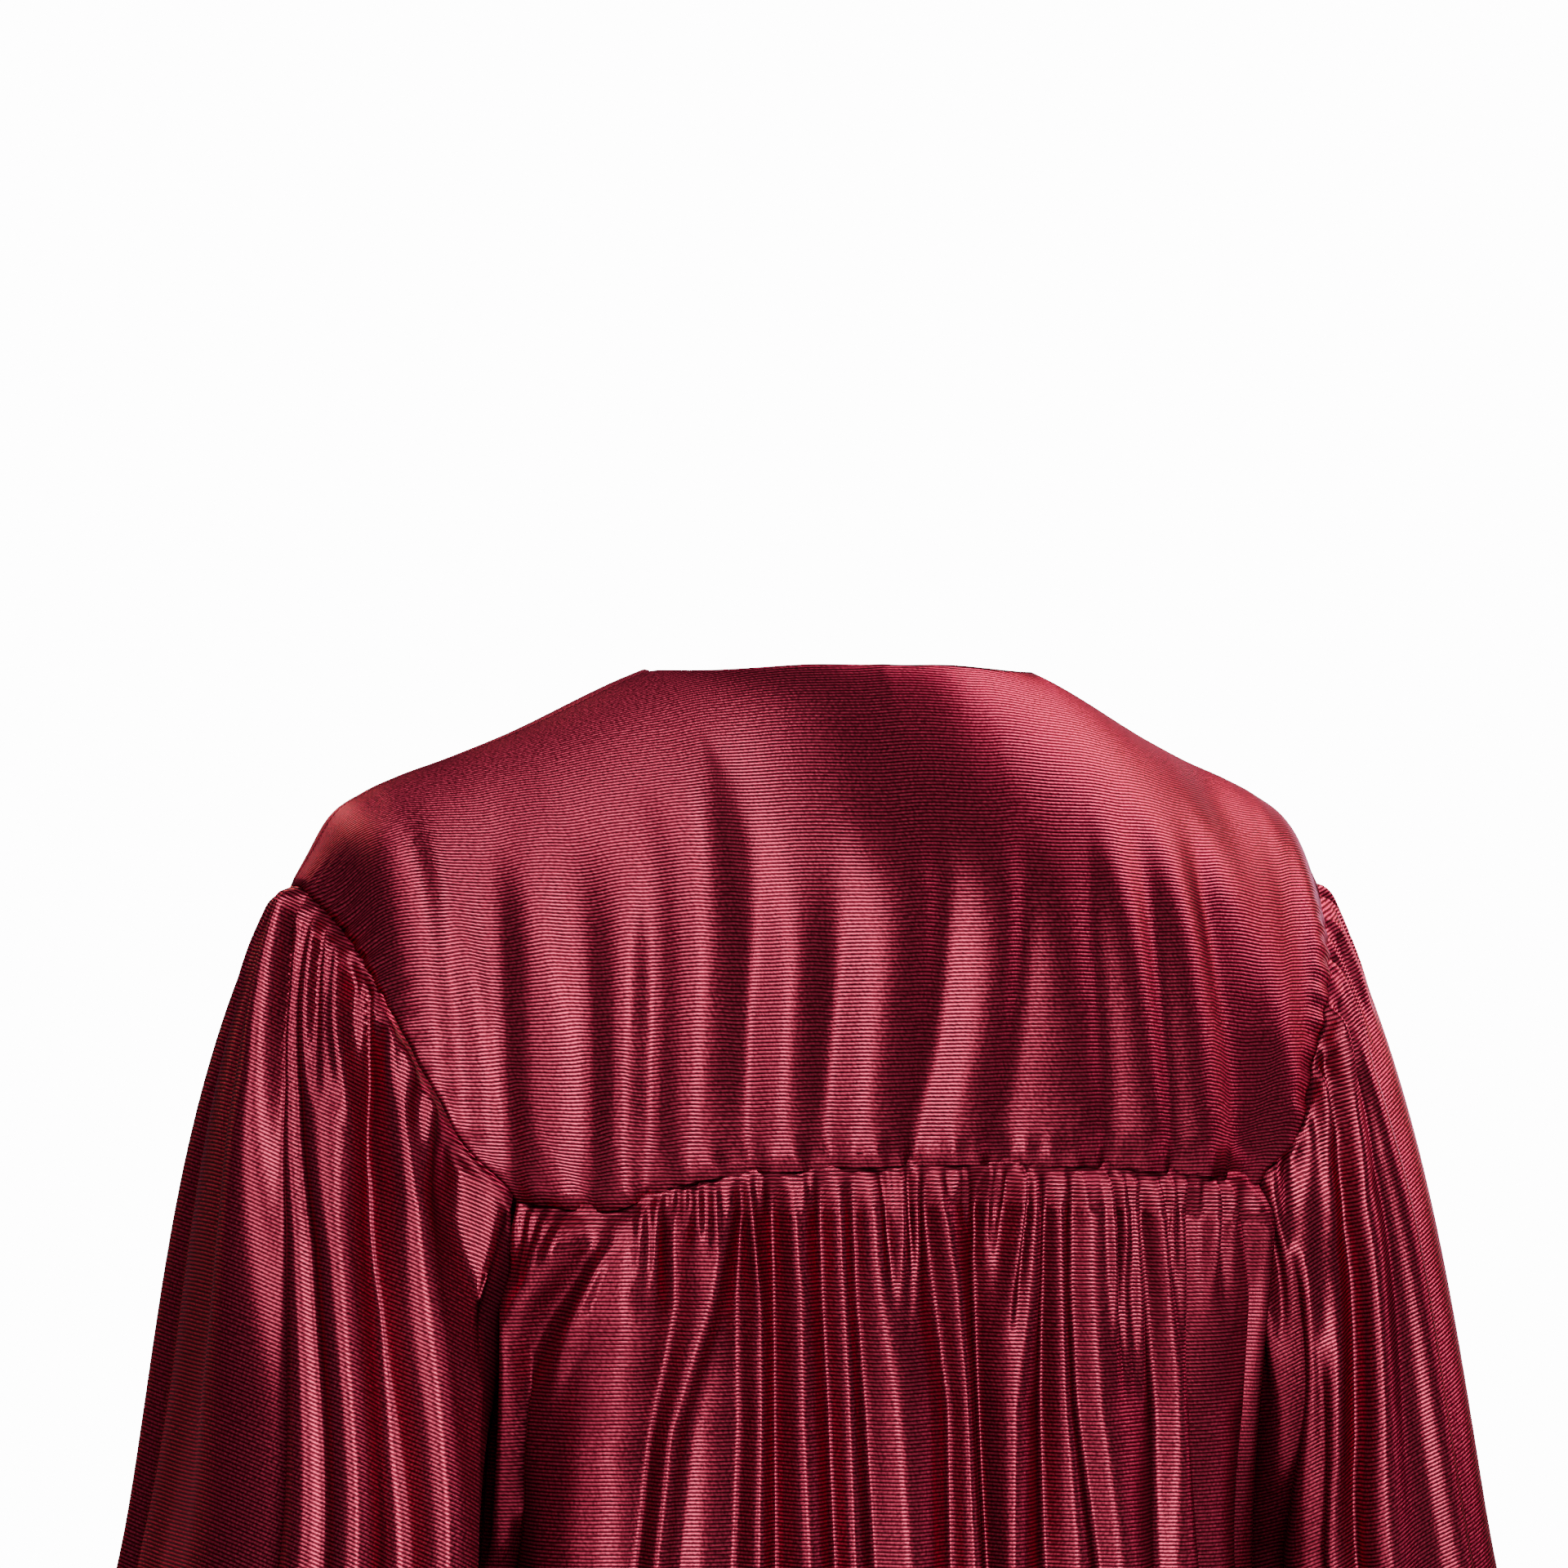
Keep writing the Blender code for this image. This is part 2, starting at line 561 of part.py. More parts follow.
def box(name, size, centre, material, collection):
    bpy.ops.mesh.primitive_cube_add(size=1.0, location=centre)
    obj = keep(bpy.context.object, name, material, collection)
    obj.scale = size
    bpy.context.view_layer.update()
    obj.data.transform(obj.matrix_basis)
    obj.matrix_basis.identity()
    return obj


def join_by_union(obj, other):
    """Fuse another closed solid into an object and remove it."""
    union = obj.modifiers.new("Union", "BOOLEAN")
    union.operation = "UNION"
    union.object = other
    bpy.context.view_layer.objects.active = obj
    bpy.ops.object.modifier_apply(modifier=union.name)
    bpy.data.objects.remove(other, do_unlink=True)


def make_yokes(satin, gown):
    cloth_piece("yoke_back", YOKE_COLUMNS, YOKE_ROWS, yoke_back, satin, gown)
    for side, name in ((1, "yoke_front_left"), (-1, "yoke_front_right")):
        cloth_piece(name, FRONT_YOKE_COLUMNS, YOKE_ROWS, yoke_front(side), satin, gown)


def make_panels(satin, gown):
    cloth_piece("back_panel", BACK_COLUMNS, PANEL_ROWS, back_panel, satin, gown)
    for side, name in ((1, "front_panel_left"), (-1, "front_panel_right")):
        cloth_piece(name, FRONT_COLUMNS, PANEL_ROWS, front_panel(side), satin, gown)


def make_sleeves(satin, gown):
    arms = (("sleeve_left", 1, LEFT_SLEEVE, LEFT_SLEEVE_FOLDS),
            ("sleeve_right", -1, RIGHT_SLEEVE, RIGHT_SLEEVE_FOLDS))
    for name, side, rings, folds in arms:
        cloth_piece(name, SLEEVE_COLUMNS, len(SLEEVE_ROWS) - 1, sleeve(side, rings, folds), satin, gown,
                    closed=True)


def make_zip(tape_cloth, metal, gown):
    """The tape, the slider on it and the pull tab that swings on the slider's ears."""
    rows = [row / ZIP_SHARE for row in PANEL_ROWS if row <= ZIP_SHARE]
    cloth_piece("zip_tape", 2, rows, zip_tape, tape_cloth, gown, wall=TAPE)
    width, height = SLIDER
    surface = float(np.min(front_edge_y(SLIDER_HEIGHT + np.array([-height, height]) / 2)))
    back = surface + CLOTH - SEAM_GAP
    front = surface - SLIDER_STANDS
    slider = box("zip_slider", (width, back - front, height), (0.0, (back + front) / 2, SLIDER_HEIGHT),
                 metal, gown)
    ear_thick, ear_high = EAR
    pin_y = surface - PULL_REACH
    pin_z = SLIDER_HEIGHT + height / 4
    for side in (1, -1):
        ear_back = front + SEAM_GAP
        ear_front = pin_y - BARREL_RADIUS
        ear = box("ear", (ear_thick, ear_back - ear_front, ear_high),
                  (side * (width - ear_thick) / 2, (ear_back + ear_front) / 2, pin_z), metal, gown)
        join_by_union(slider, ear)
    make_pull(pin_y, pin_z, metal, gown)


def make_pull(pin_y, pin_z, metal, gown):
    """The pull tab, with a barrel between the slider's ears, on an empty at its hinge."""
    width, thick, length = PULL
    barrel = SLIDER[0] - 2 * EAR[0] - 2 * SEAM_GAP
    bpy.ops.object.empty_add(location=(0.0, pin_y, pin_z))
    hinge = bpy.context.object
    hinge.name = "pull_hinge"
    for holder in list(hinge.users_collection):
        holder.objects.unlink(hinge)
    gown.objects.link(hinge)
    tab_top = -math.hypot(EAR[1] / 2, BARREL_RADIUS) - SEAM_GAP
    tab = box("zip_pull", (width, thick, length), (0.0, 0.0, tab_top - length / 2), metal, gown)
    neck = box("neck", (barrel, thick, BARREL_RADIUS - tab_top + SEAM_GAP),
               (0.0, 0.0, (BARREL_RADIUS + tab_top - SEAM_GAP) / 2), metal, gown)
    join_by_union(tab, neck)
    tab.parent = hinge


def main():
    clear_scene()
    gown = make_collection("graduation_gown")
    satin = make_material("maroon_satin", SATIN)
    tape_cloth = make_material("zip_tape_cloth", TAPE_CLOTH)
    metal = make_material("zip_metal", ZIP_METAL)
    make_yokes(satin, gown)
    make_panels(satin, gown)
    make_sleeves(satin, gown)
    make_zip(tape_cloth, metal, gown)


main()
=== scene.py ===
"""The looks of a graduation gown: ribbed satin in folds and gathers, with its sewing and its zip.

Metres, +Z up. The front faces -Y and the gown's left sleeve is on +X. Every piece of cloth is a thin shell
on the form of its solid, with the gathers, puckers and creases laid on one by one.
"""
import json
import math
from collections import namedtuple

import bpy
import numpy as np
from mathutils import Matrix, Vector

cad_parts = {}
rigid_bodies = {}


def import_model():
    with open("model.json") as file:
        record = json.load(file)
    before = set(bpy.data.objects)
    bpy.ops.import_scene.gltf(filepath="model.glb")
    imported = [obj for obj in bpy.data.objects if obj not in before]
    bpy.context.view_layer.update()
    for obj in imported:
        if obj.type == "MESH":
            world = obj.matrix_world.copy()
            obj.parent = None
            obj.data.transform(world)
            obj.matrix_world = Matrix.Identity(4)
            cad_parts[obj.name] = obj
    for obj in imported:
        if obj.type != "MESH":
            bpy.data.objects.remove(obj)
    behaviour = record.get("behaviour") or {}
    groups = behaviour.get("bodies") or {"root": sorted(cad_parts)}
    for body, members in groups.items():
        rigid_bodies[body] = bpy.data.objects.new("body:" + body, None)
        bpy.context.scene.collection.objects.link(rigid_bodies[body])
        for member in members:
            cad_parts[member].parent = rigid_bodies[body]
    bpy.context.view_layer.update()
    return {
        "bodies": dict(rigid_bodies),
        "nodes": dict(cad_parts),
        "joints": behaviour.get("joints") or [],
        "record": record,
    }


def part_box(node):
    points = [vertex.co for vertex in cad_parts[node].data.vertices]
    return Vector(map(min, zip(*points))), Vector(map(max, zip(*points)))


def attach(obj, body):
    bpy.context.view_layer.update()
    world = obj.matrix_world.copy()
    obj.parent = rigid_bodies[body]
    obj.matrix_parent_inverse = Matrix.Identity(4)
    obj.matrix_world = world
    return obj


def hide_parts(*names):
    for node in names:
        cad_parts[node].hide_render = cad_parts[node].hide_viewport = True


# Cloth, seams and lengths down from the neck and shoulder points
CLOTH = 0.0008
SOLID_CLOTH = 0.0012
YOKE_SEAM_GAP = 0.0006
SIDE_SEAM_GAP = 0.0005
FOLDED_SEAM_GAP = 0.0012
SLEEVE_SEAM_GAP = 0.0003
WELD_DISTANCE = 0.00005
HEM = -1.220
CUFF = -0.650
BACK_SEAM = -0.193
FRONT_SEAM = -0.185
SEAM_CORNER_DROP = 0.012
SEAM_DIP = 0.009
SEAM_DIP_PLACE = 0.127
SEAM_DIP_WIDTH = 0.021
UNDERARM = (0.157, -0.020, -0.300)

# Neckline and yoke corners
NECK_SHARE = 8.0 / 22.0
BACK_NECK_DEPTH = 0.046
NECK_ROUNDNESS = 2.4
NECK_SLANT = 0.75
CORNER = 0.156
CORNER_SHARE = 2.0 / 3.0
CORNER_ANGLE = 120.0
LOWER_ARMHOLE_BEND = (0.152, 0.90, -0.285)

# Zip
FRONT_EDGE = 0.004
ZIP_SHARE = 0.50
TAPE_TO_EDGE = 0.0015
TOOTH = (0.0032, 0.0014, 0.0011)
TOOTH_REACH = 0.0009
TOOTH_PITCH = 0.0025
TOOTH_BEVEL = 0.0003
TEETH_TOP = -0.209
SLIDER_WIDTH = 0.0068
SLIDER_BEVEL = 0.0007
SLIDER_NARROWING = 0.72
EAR = (0.0014, 0.0026)
EAR_GAP = 0.0003
PULL = (0.0060, 0.0014, 0.0240)
PULL_BEVEL = 0.0005
PULL_INSET = (0.0010, 0.0003)
BARREL_RADIUS = 0.0009
PULL_NECK = 0.0019
SHARP_ANGLE = 35.0

# Smoothness of the worn shape
YOKE_ROUNDNESS = 2.3
BODY_ROUNDNESS = 3.0
BODY_MIDDLE = -0.020
SLEEVE_ROUNDNESS = 3.1
CAP_END = -0.360
SEAM_EASE = 0.160

Shoulder = namedtuple("Shoulder", "across ridge ridge_y back front")
SHOULDER = [
    Shoulder(0.000, 0.0180, 0.004, 0.1050, -0.1460),
    Shoulder(0.030, 0.0160, 0.003, 0.1045, -0.1457),
    Shoulder(0.080, 0.000, 0.000, 0.098, -0.138),
    Shoulder(0.134, -0.026, -0.016, 0.080, -0.112),
    Shoulder(0.156, -0.035, -0.023, 0.064, -0.098),
    Shoulder(0.175, -0.042, -0.027, 0.056, -0.090),
    Shoulder(0.188, -0.048, -0.029, 0.051, -0.084),
    Shoulder(0.202, -0.058, -0.030, 0.039, -0.076),
    Shoulder(0.211, -0.072, -0.029, 0.018, -0.064),
    Shoulder(0.220, -0.086, -0.028, 0.002, -0.052),
]

Armhole = namedtuple("Armhole", "turn across")
ARMHOLE = [
    Armhole(0.00, 0.2195),
    Armhole(0.25, 0.2165),
    Armhole(0.45, 0.2105),
    Armhole(0.64, 0.2020),
    Armhole(0.75, 0.1945),
    Armhole(0.86, 0.1840),
    Armhole(0.94, 0.1735),
    Armhole(1.00, 0.1560),
]

Section = namedtuple("Section", "height half_width back front")
BODY = [
    Section(-0.200, 0.160, 0.105, -0.147),
    Section(-0.300, 0.156, 0.112, -0.151),
    Section(-0.360, 0.157, 0.118, -0.154),
    Section(-0.450, 0.166, 0.128, -0.162),
    Section(-0.550, 0.183, 0.142, -0.174),
    Section(-0.650, 0.200, 0.156, -0.186),
    Section(-0.800, 0.226, 0.176, -0.206),
    Section(-1.000, 0.260, 0.202, -0.232),
    Section(-1.220, 0.292, 0.226, -0.256),
]

Ring = namedtuple("Ring", "height inner outer back front")
LEFT_SLEEVE = [
    Ring(-0.300, 0.168, 0.260, 0.116, -0.142),
    Ring(-0.360, 0.174, 0.270, 0.126, -0.150),
    Ring(-0.450, 0.187, 0.290, 0.130, -0.158),
    Ring(-0.550, 0.206, 0.312, 0.134, -0.166),
    Ring(-0.650, 0.226, 0.334, 0.138, -0.174),
]
RIGHT_SLEEVE = [
    Ring(-0.300, 0.168, 0.256, 0.088, -0.152),
    Ring(-0.360, 0.174, 0.265, 0.090, -0.162),
    Ring(-0.450, 0.187, 0.285, 0.096, -0.170),
    Ring(-0.550, 0.206, 0.307, 0.102, -0.178),
    Ring(-0.650, 0.226, 0.329, 0.108, -0.186),
]

# How steeply a sleeve leaves the armhole, outwards and backwards, for each metre that it falls
CapStart = namedtuple("CapStart", "angle out back")
CAP_STARTS = [
    CapStart(-180.0, 0.30, 0.00),
    CapStart(-150.0, 0.46, -0.10),
    CapStart(-118.0, 0.50, -0.25),
    CapStart(-60.0, 0.42, -0.30),
    CapStart(0.0, 0.52, 0.00),
    CapStart(60.0, 0.42, 0.25),
    CapStart(118.0, 0.50, 0.25),
    CapStart(150.0, 0.46, 0.10),
    CapStart(180.0, 0.30, 0.00),
]

# Main folds of the body. Places count 0 at the centre and 1 at a side seam, to the left where positive.
# A fold leans sideways by its lean, so that one flank hangs over.
Fold = namedtuple("Fold", "seam waist hem width depth hem_depth end lean")
BACK_FOLDS = [
    Fold(0.958, 0.920, 0.900, 0.040, 0.003, 0.016, HEM, 0.0),
    Fold(0.854, 0.820, 0.790, 0.040, 0.004, 0.020, HEM, 0.0),
    Fold(0.760, 0.740, 0.690, 0.040, 0.004, 0.020, HEM, 0.0),
    Fold(0.644, 0.650, 0.620, 0.038, 0.013, 0.020, HEM, 0.012),
    Fold(0.598, 0.590, 0.550, 0.034, 0.008, 0.020, HEM, 0.0),
    Fold(0.526, 0.500, 0.490, 0.028, 0.006, 0.000, -0.340, 0.0),
    Fold(0.457, 0.466, 0.450, 0.034, 0.008, 0.020, HEM, 0.0),
    Fold(0.367, 0.408, 0.380, 0.030, 0.007, 0.010, -0.900, -0.010),
    Fold(0.313, 0.302, 0.320, 0.030, 0.008, 0.022, HEM, -0.006),
    Fold(0.277, 0.285, 0.300, 0.018, 0.004, 0.000, -0.270, 0.0),
    Fold(0.250, 0.222, 0.240, 0.026, 0.006, 0.008, -0.800, 0.0),
    Fold(0.170, 0.150, 0.170, 0.032, 0.008, 0.022, HEM, 0.0),
    Fold(0.117, 0.060, 0.070, 0.030, 0.007, 0.018, HEM, 0.0),
    Fold(0.058, 0.020, 0.020, 0.024, 0.005, 0.000, -0.300, 0.0),
    Fold(0.021, 0.010, 0.010, 0.020, 0.003, 0.000, -0.260, 0.0),
    Fold(-0.013, -0.053, -0.050, 0.034, 0.010, 0.018, HEM, -0.010),
    Fold(-0.104, -0.118, -0.140, 0.034, 0.010, 0.024, HEM, 0.008),
    Fold(-0.182, -0.165, -0.180, 0.026, 0.005, 0.000, -0.320, 0.0),
    Fold(-0.223, -0.240, -0.250, 0.032, 0.008, 0.018, HEM, 0.006),
    Fold(-0.291, -0.316, -0.350, 0.034, 0.008, 0.022, HEM, 0.0),
    Fold(-0.390, -0.380, -0.400, 0.030, 0.006, 0.000, -0.360, 0.0),
    Fold(-0.474, -0.446, -0.470, 0.036, 0.008, 0.022, HEM, -0.008),
    Fold(-0.540, -0.570, -0.570, 0.032, 0.007, 0.016, HEM, 0.0),
    Fold(-0.646, -0.650, -0.660, 0.044, 0.013, 0.022, HEM, -0.012),
    Fold(-0.771, -0.740, -0.750, 0.040, 0.004, 0.018, HEM, 0.0),
    Fold(-0.865, -0.830, -0.830, 0.036, 0.003, 0.016, HEM, 0.0),
    Fold(-0.958, -0.920, -0.910, 0.036, 0.003, 0.016, HEM, 0.0),
]
FRONT_FOLDS = [
    Fold(0.150, 0.170, 0.200, 0.030, 0.006, 0.018, HEM, 0.0),
    Fold(0.215, 0.240, 0.280, 0.028, 0.007, 0.012, -0.900, 0.006),
    Fold(0.270, 0.300, 0.340, 0.030, 0.007, 0.020, HEM, 0.0),
    Fold(0.335, 0.360, 0.390, 0.028, 0.006, 0.000, -0.420, 0.0),
    Fold(0.395, 0.420, 0.460, 0.032, 0.008, 0.022, HEM, 0.008),
    Fold(0.460, 0.480, 0.500, 0.028, 0.006, 0.000, -0.400, 0.0),
    Fold(0.520, 0.545, 0.570, 0.034, 0.008, 0.022, HEM, 0.0),
    Fold(0.590, 0.620, 0.640, 0.032, 0.007, 0.010, -0.850, 0.006),
    Fold(0.690, 0.710, 0.720, 0.046, 0.006, 0.024, HEM, 0.0),
    Fold(0.810, 0.820, 0.820, 0.040, 0.004, 0.018, HEM, 0.0),
    Fold(0.920, 0.920, 0.915, 0.036, 0.003, 0.014, HEM, 0.0),
]
FOLDS_START = (0.120, 0.360)
SLEEVE_FOLDS_START = (0.90, 1.50)
ARMHOLE_GROWTH = 0.200
ARMHOLE_CALM = 0.58
FLARE_TOP = -0.420
FOLD_WIDENING = 0.4

# Main folds of the sleeves. Places are degrees: 0 at the outer side, positive at the back, 180 underarm.
SleeveFold = namedtuple("SleeveFold", "seam elbow cuff width depth cuff_depth")
LEFT_SLEEVE_FOLDS = [
    SleeveFold(-120.0, -118.0, -112.0, 15.0, 0.006, 0.014),
    SleeveFold(-88.0, -86.0, -84.0, 14.0, 0.007, 0.016),
    SleeveFold(-60.0, -58.0, -52.0, 13.0, 0.007, 0.014),
    SleeveFold(-32.0, -28.0, -20.0, 13.0, 0.006, 0.012),
    SleeveFold(6.0, -2.0, 2.0, 12.0, 0.004, 0.010),
    SleeveFold(34.0, 19.0, 22.0, 12.0, 0.006, 0.012),
    SleeveFold(52.0, 63.0, 60.0, 13.0, 0.007, 0.014),
    SleeveFold(72.0, 83.0, 82.0, 10.0, 0.008, 0.014),
    SleeveFold(94.0, 107.0, 108.0, 12.0, 0.009, 0.018),
    SleeveFold(118.0, 132.0, 136.0, 12.0, 0.006, 0.014),
]
RIGHT_SLEEVE_FOLDS = [
    SleeveFold(-118.0, -116.0, -110.0, 15.0, 0.006, 0.014),
    SleeveFold(-86.0, -84.0, -82.0, 14.0, 0.007, 0.016),
    SleeveFold(-58.0, -56.0, -50.0, 13.0, 0.007, 0.014),
    SleeveFold(-30.0, -26.0, -18.0, 13.0, 0.005, 0.012),
    SleeveFold(4.0, 8.0, 10.0, 13.0, 0.004, 0.010),
    SleeveFold(40.0, 44.0, 42.0, 14.0, 0.005, 0.012),
    SleeveFold(70.0, 78.0, 76.0, 13.0, 0.006, 0.014),
    SleeveFold(90.0, 120.0, 118.0, 11.0, 0.010, 0.018),
    SleeveFold(112.0, 146.0, 148.0, 11.0, 0.007, 0.012),
]

# Long creases of the body panels, as crests and as the troughs between them. Places are given just below
# the yoke seam and at three depths further down.
Crease = namedtuple("Crease", "seam upper middle low height")
CREASE_DEPTHS = (0.012, 0.045, 0.090, 0.149)
BACK_CREASES = [
    Crease(1.000, 1.000, 1.000, 1.000, 0.000),
    Crease(0.960, 0.955, 0.950, 0.940, 0.003),
    Crease(0.900, 0.905, 0.900, 0.890, -0.003),
    Crease(0.850, 0.865, 0.870, 0.840, 0.003),
    Crease(0.760, 0.800, 0.800, 0.760, -0.004),
    Crease(0.510, 0.535, 0.600, 0.660, 0.010),
    Crease(0.440, 0.440, 0.485, 0.515, -0.003),
    Crease(0.340, 0.378, 0.453, 0.484, 0.005),
    Crease(0.331, 0.360, 0.425, 0.455, -0.002),
    Crease(0.328, 0.336, 0.333, 0.349, -0.007),
    Crease(0.314, 0.302, 0.304, 0.313, 0.001),
    Crease(0.268, 0.273, 0.278, 0.282, -0.008),
    Crease(0.250, 0.240, 0.242, 0.232, 0.006),
    Crease(0.192, 0.193, 0.186, 0.183, -0.005),
    Crease(0.166, 0.163, 0.159, 0.156, 0.004),
    Crease(0.138, 0.137, 0.127, 0.119, -0.003),
    Crease(0.117, 0.108, 0.072, 0.054, 0.006),
    Crease(0.006, -0.006, -0.029, -0.018, -0.004),
    Crease(-0.006, -0.033, -0.048, -0.055, 0.005),
    Crease(-0.088, -0.082, -0.084, -0.086, -0.010),
    Crease(-0.188, -0.172, -0.135, -0.117, 0.006),
    Crease(-0.207, -0.206, -0.200, -0.194, -0.008),
    Crease(-0.228, -0.228, -0.231, -0.250, 0.004),
    Crease(-0.256, -0.252, -0.257, -0.282, -0.003),
    Crease(-0.290, -0.285, -0.295, -0.334, 0.006),
    Crease(-0.398, -0.414, -0.429, -0.410, -0.004),
    Crease(-0.414, -0.436, -0.459, -0.468, 0.006),
    Crease(-0.498, -0.500, -0.516, -0.524, -0.008),
    Crease(-0.590, -0.640, -0.648, -0.605, 0.004),
    Crease(-0.625, -0.665, -0.690, -0.680, -0.004),
    Crease(-0.660, -0.700, -0.735, -0.742, 0.008),
    Crease(-0.780, -0.800, -0.810, -0.815, -0.004),
    Crease(-0.870, -0.870, -0.875, -0.880, 0.003),
    Crease(-0.940, -0.940, -0.940, -0.940, -0.003),
    Crease(-1.000, -1.000, -1.000, -1.000, 0.000),
]
FRONT_CREASES = [
    Crease(0.000, 0.000, 0.000, 0.000, 0.001),
    Crease(0.095, 0.098, 0.100, 0.105, -0.002),
    Crease(0.118, 0.126, 0.142, 0.165, 0.005),
    Crease(0.168, 0.178, 0.196, 0.210, -0.005),
    Crease(0.196, 0.206, 0.226, 0.242, 0.005),
    Crease(0.226, 0.236, 0.252, 0.268, -0.006),
    Crease(0.258, 0.268, 0.286, 0.300, 0.006),
    Crease(0.312, 0.318, 0.324, 0.330, -0.004),
    Crease(0.345, 0.350, 0.358, 0.362, 0.004),
    Crease(0.378, 0.384, 0.388, 0.392, -0.006),
    Crease(0.402, 0.408, 0.416, 0.424, 0.006),
    Crease(0.452, 0.456, 0.462, 0.456, -0.003),
    Crease(0.476, 0.480, 0.490, 0.500, 0.005),
    Crease(0.505, 0.512, 0.524, 0.528, -0.007),
    Crease(0.530, 0.538, 0.548, 0.556, 0.006),
    Crease(0.578, 0.588, 0.596, 0.596, -0.004),
    Crease(0.602, 0.618, 0.628, 0.636, 0.005),
    Crease(0.638, 0.660, 0.672, 0.672, -0.005),
    Crease(0.664, 0.700, 0.720, 0.728, 0.007),
    Crease(0.780, 0.790, 0.790, 0.790, -0.004),
    Crease(0.850, 0.850, 0.845, 0.840, 0.003),
    Crease(0.930, 0.930, 0.930, 0.930, -0.003),
    Crease(1.000, 1.000, 1.000, 1.000, 0.000),
]
CREASES_END = (0.170, 0.420)

# Creases that wander across the back: a swelling fold at the left, with a hollow and a small fold beside it
Wander = namedtuple("Wander", "seam upper middle low width height start end")
BACK_WANDERS = [
    Wander(0.595, 0.690, 0.810, 0.790, 0.060, 0.010, -0.010, 0.130),
    Wander(0.560, 0.630, 0.720, 0.735, 0.036, -0.007, -0.010, 0.120),
    Wander(0.545, 0.590, 0.650, 0.680, 0.020, 0.003, 0.005, 0.090),
]

# Gathers below the yoke seams, from their place at the seam to their place where they die out
Gather = namedtuple("Gather", "seam low width depth reach")
BACK_GATHERS = [
    Gather(0.662, 0.676, 0.008, 0.0020, 0.030),
    Gather(0.639, 0.662, 0.008, 0.0022, 0.036),
    Gather(0.616, 0.644, 0.009, 0.0022, 0.034),
    Gather(0.592, 0.612, 0.009, 0.0020, 0.030),
    Gather(0.486, 0.492, 0.011, 0.0022, 0.036),
    Gather(0.460, 0.474, 0.014, 0.0040, 0.050),
    Gather(0.436, 0.442, 0.009, 0.0030, 0.012),
    Gather(0.418, 0.420, 0.009, 0.0028, 0.016),
    Gather(0.398, 0.404, 0.011, 0.0032, 0.030),
    Gather(0.370, 0.374, 0.010, 0.0026, 0.034),
    Gather(0.316, 0.300, 0.012, 0.0040, 0.070),
    Gather(0.292, 0.293, 0.009, 0.0024, 0.018),
    Gather(0.226, 0.224, 0.010, 0.0020, 0.026),
    Gather(0.208, 0.211, 0.010, 0.0024, 0.024),
    Gather(0.091, 0.079, 0.011, -0.0034, 0.060),
    Gather(0.057, 0.064, 0.014, 0.0036, 0.060),
    Gather(0.042, 0.040, 0.009, -0.0026, 0.050),
    Gather(0.026, 0.040, 0.014, 0.0036, 0.080),
    Gather(-0.026, -0.026, 0.009, -0.0022, 0.020),
    Gather(-0.046, -0.050, 0.009, 0.0022, 0.016),
    Gather(-0.060, -0.080, 0.010, 0.0036, 0.036),
    Gather(-0.108, -0.095, 0.010, 0.0040, 0.046),
    Gather(-0.124, -0.118, 0.009, 0.0020, 0.020),
    Gather(-0.141, -0.110, 0.010, -0.0032, 0.055),
    Gather(-0.163, -0.112, 0.012, 0.0042, 0.076),
    Gather(-0.174, -0.130, 0.010, -0.0036, 0.080),
    Gather(-0.240, -0.242, 0.009, 0.0018, 0.020),
    Gather(-0.272, -0.272, 0.010, 0.0022, 0.024),
    Gather(-0.315, -0.330, 0.012, 0.0036, 0.086),
    Gather(-0.331, -0.345, 0.012, -0.0044, 0.104),
    Gather(-0.347, -0.360, 0.011, 0.0032, 0.050),
    Gather(-0.372, -0.394, 0.017, 0.0052, 0.112),
    Gather(-0.433, -0.460, 0.010, -0.0040, 0.070),
    Gather(-0.450, -0.456, 0.009, 0.0026, 0.022),
    Gather(-0.480, -0.472, 0.015, 0.0050, 0.086),
    Gather(-0.515, -0.520, 0.009, 0.0024, 0.018),
    Gather(-0.543, -0.552, 0.014, 0.0044, 0.060),
    Gather(-0.562, -0.588, 0.011, -0.0042, 0.060),
    Gather(-0.578, -0.584, 0.010, 0.0026, 0.024),
    Gather(-0.640, -0.648, 0.010, 0.0024, 0.020),
]
FRONT_GATHERS = [
    Gather(0.140, 0.150, 0.010, 0.0026, 0.030),
    Gather(0.158, 0.170, 0.009, 0.0022, 0.022),
    Gather(0.184, 0.184, 0.009, 0.0024, 0.018),
    Gather(0.212, 0.220, 0.010, 0.0030, 0.040),
    Gather(0.240, 0.244, 0.009, 0.0026, 0.026),
    Gather(0.280, 0.296, 0.011, 0.0034, 0.060),
    Gather(0.298, 0.300, 0.009, 0.0022, 0.018),
    Gather(0.328, 0.332, 0.010, 0.0028, 0.030),
    Gather(0.362, 0.370, 0.010, 0.0030, 0.050),
    Gather(0.388, 0.390, 0.009, 0.0024, 0.020),
    Gather(0.420, 0.428, 0.010, 0.0030, 0.044),
    Gather(0.438, 0.440, 0.009, 0.0022, 0.018),
    Gather(0.464, 0.468, 0.009, 0.0026, 0.028),
    Gather(0.492, 0.500, 0.010, 0.0028, 0.050),
    Gather(0.518, 0.522, 0.009, 0.0024, 0.022),
    Gather(0.548, 0.556, 0.010, 0.0030, 0.040),
    Gather(0.566, 0.570, 0.009, 0.0022, 0.020),
    Gather(0.590, 0.594, 0.010, 0.0026, 0.026),
    Gather(0.620, 0.630, 0.011, 0.0028, 0.044),
    Gather(0.650, 0.654, 0.010, 0.0024, 0.020),
]
GATHER_HOLD = 0.35
GATHER_WIDENING = 0.6

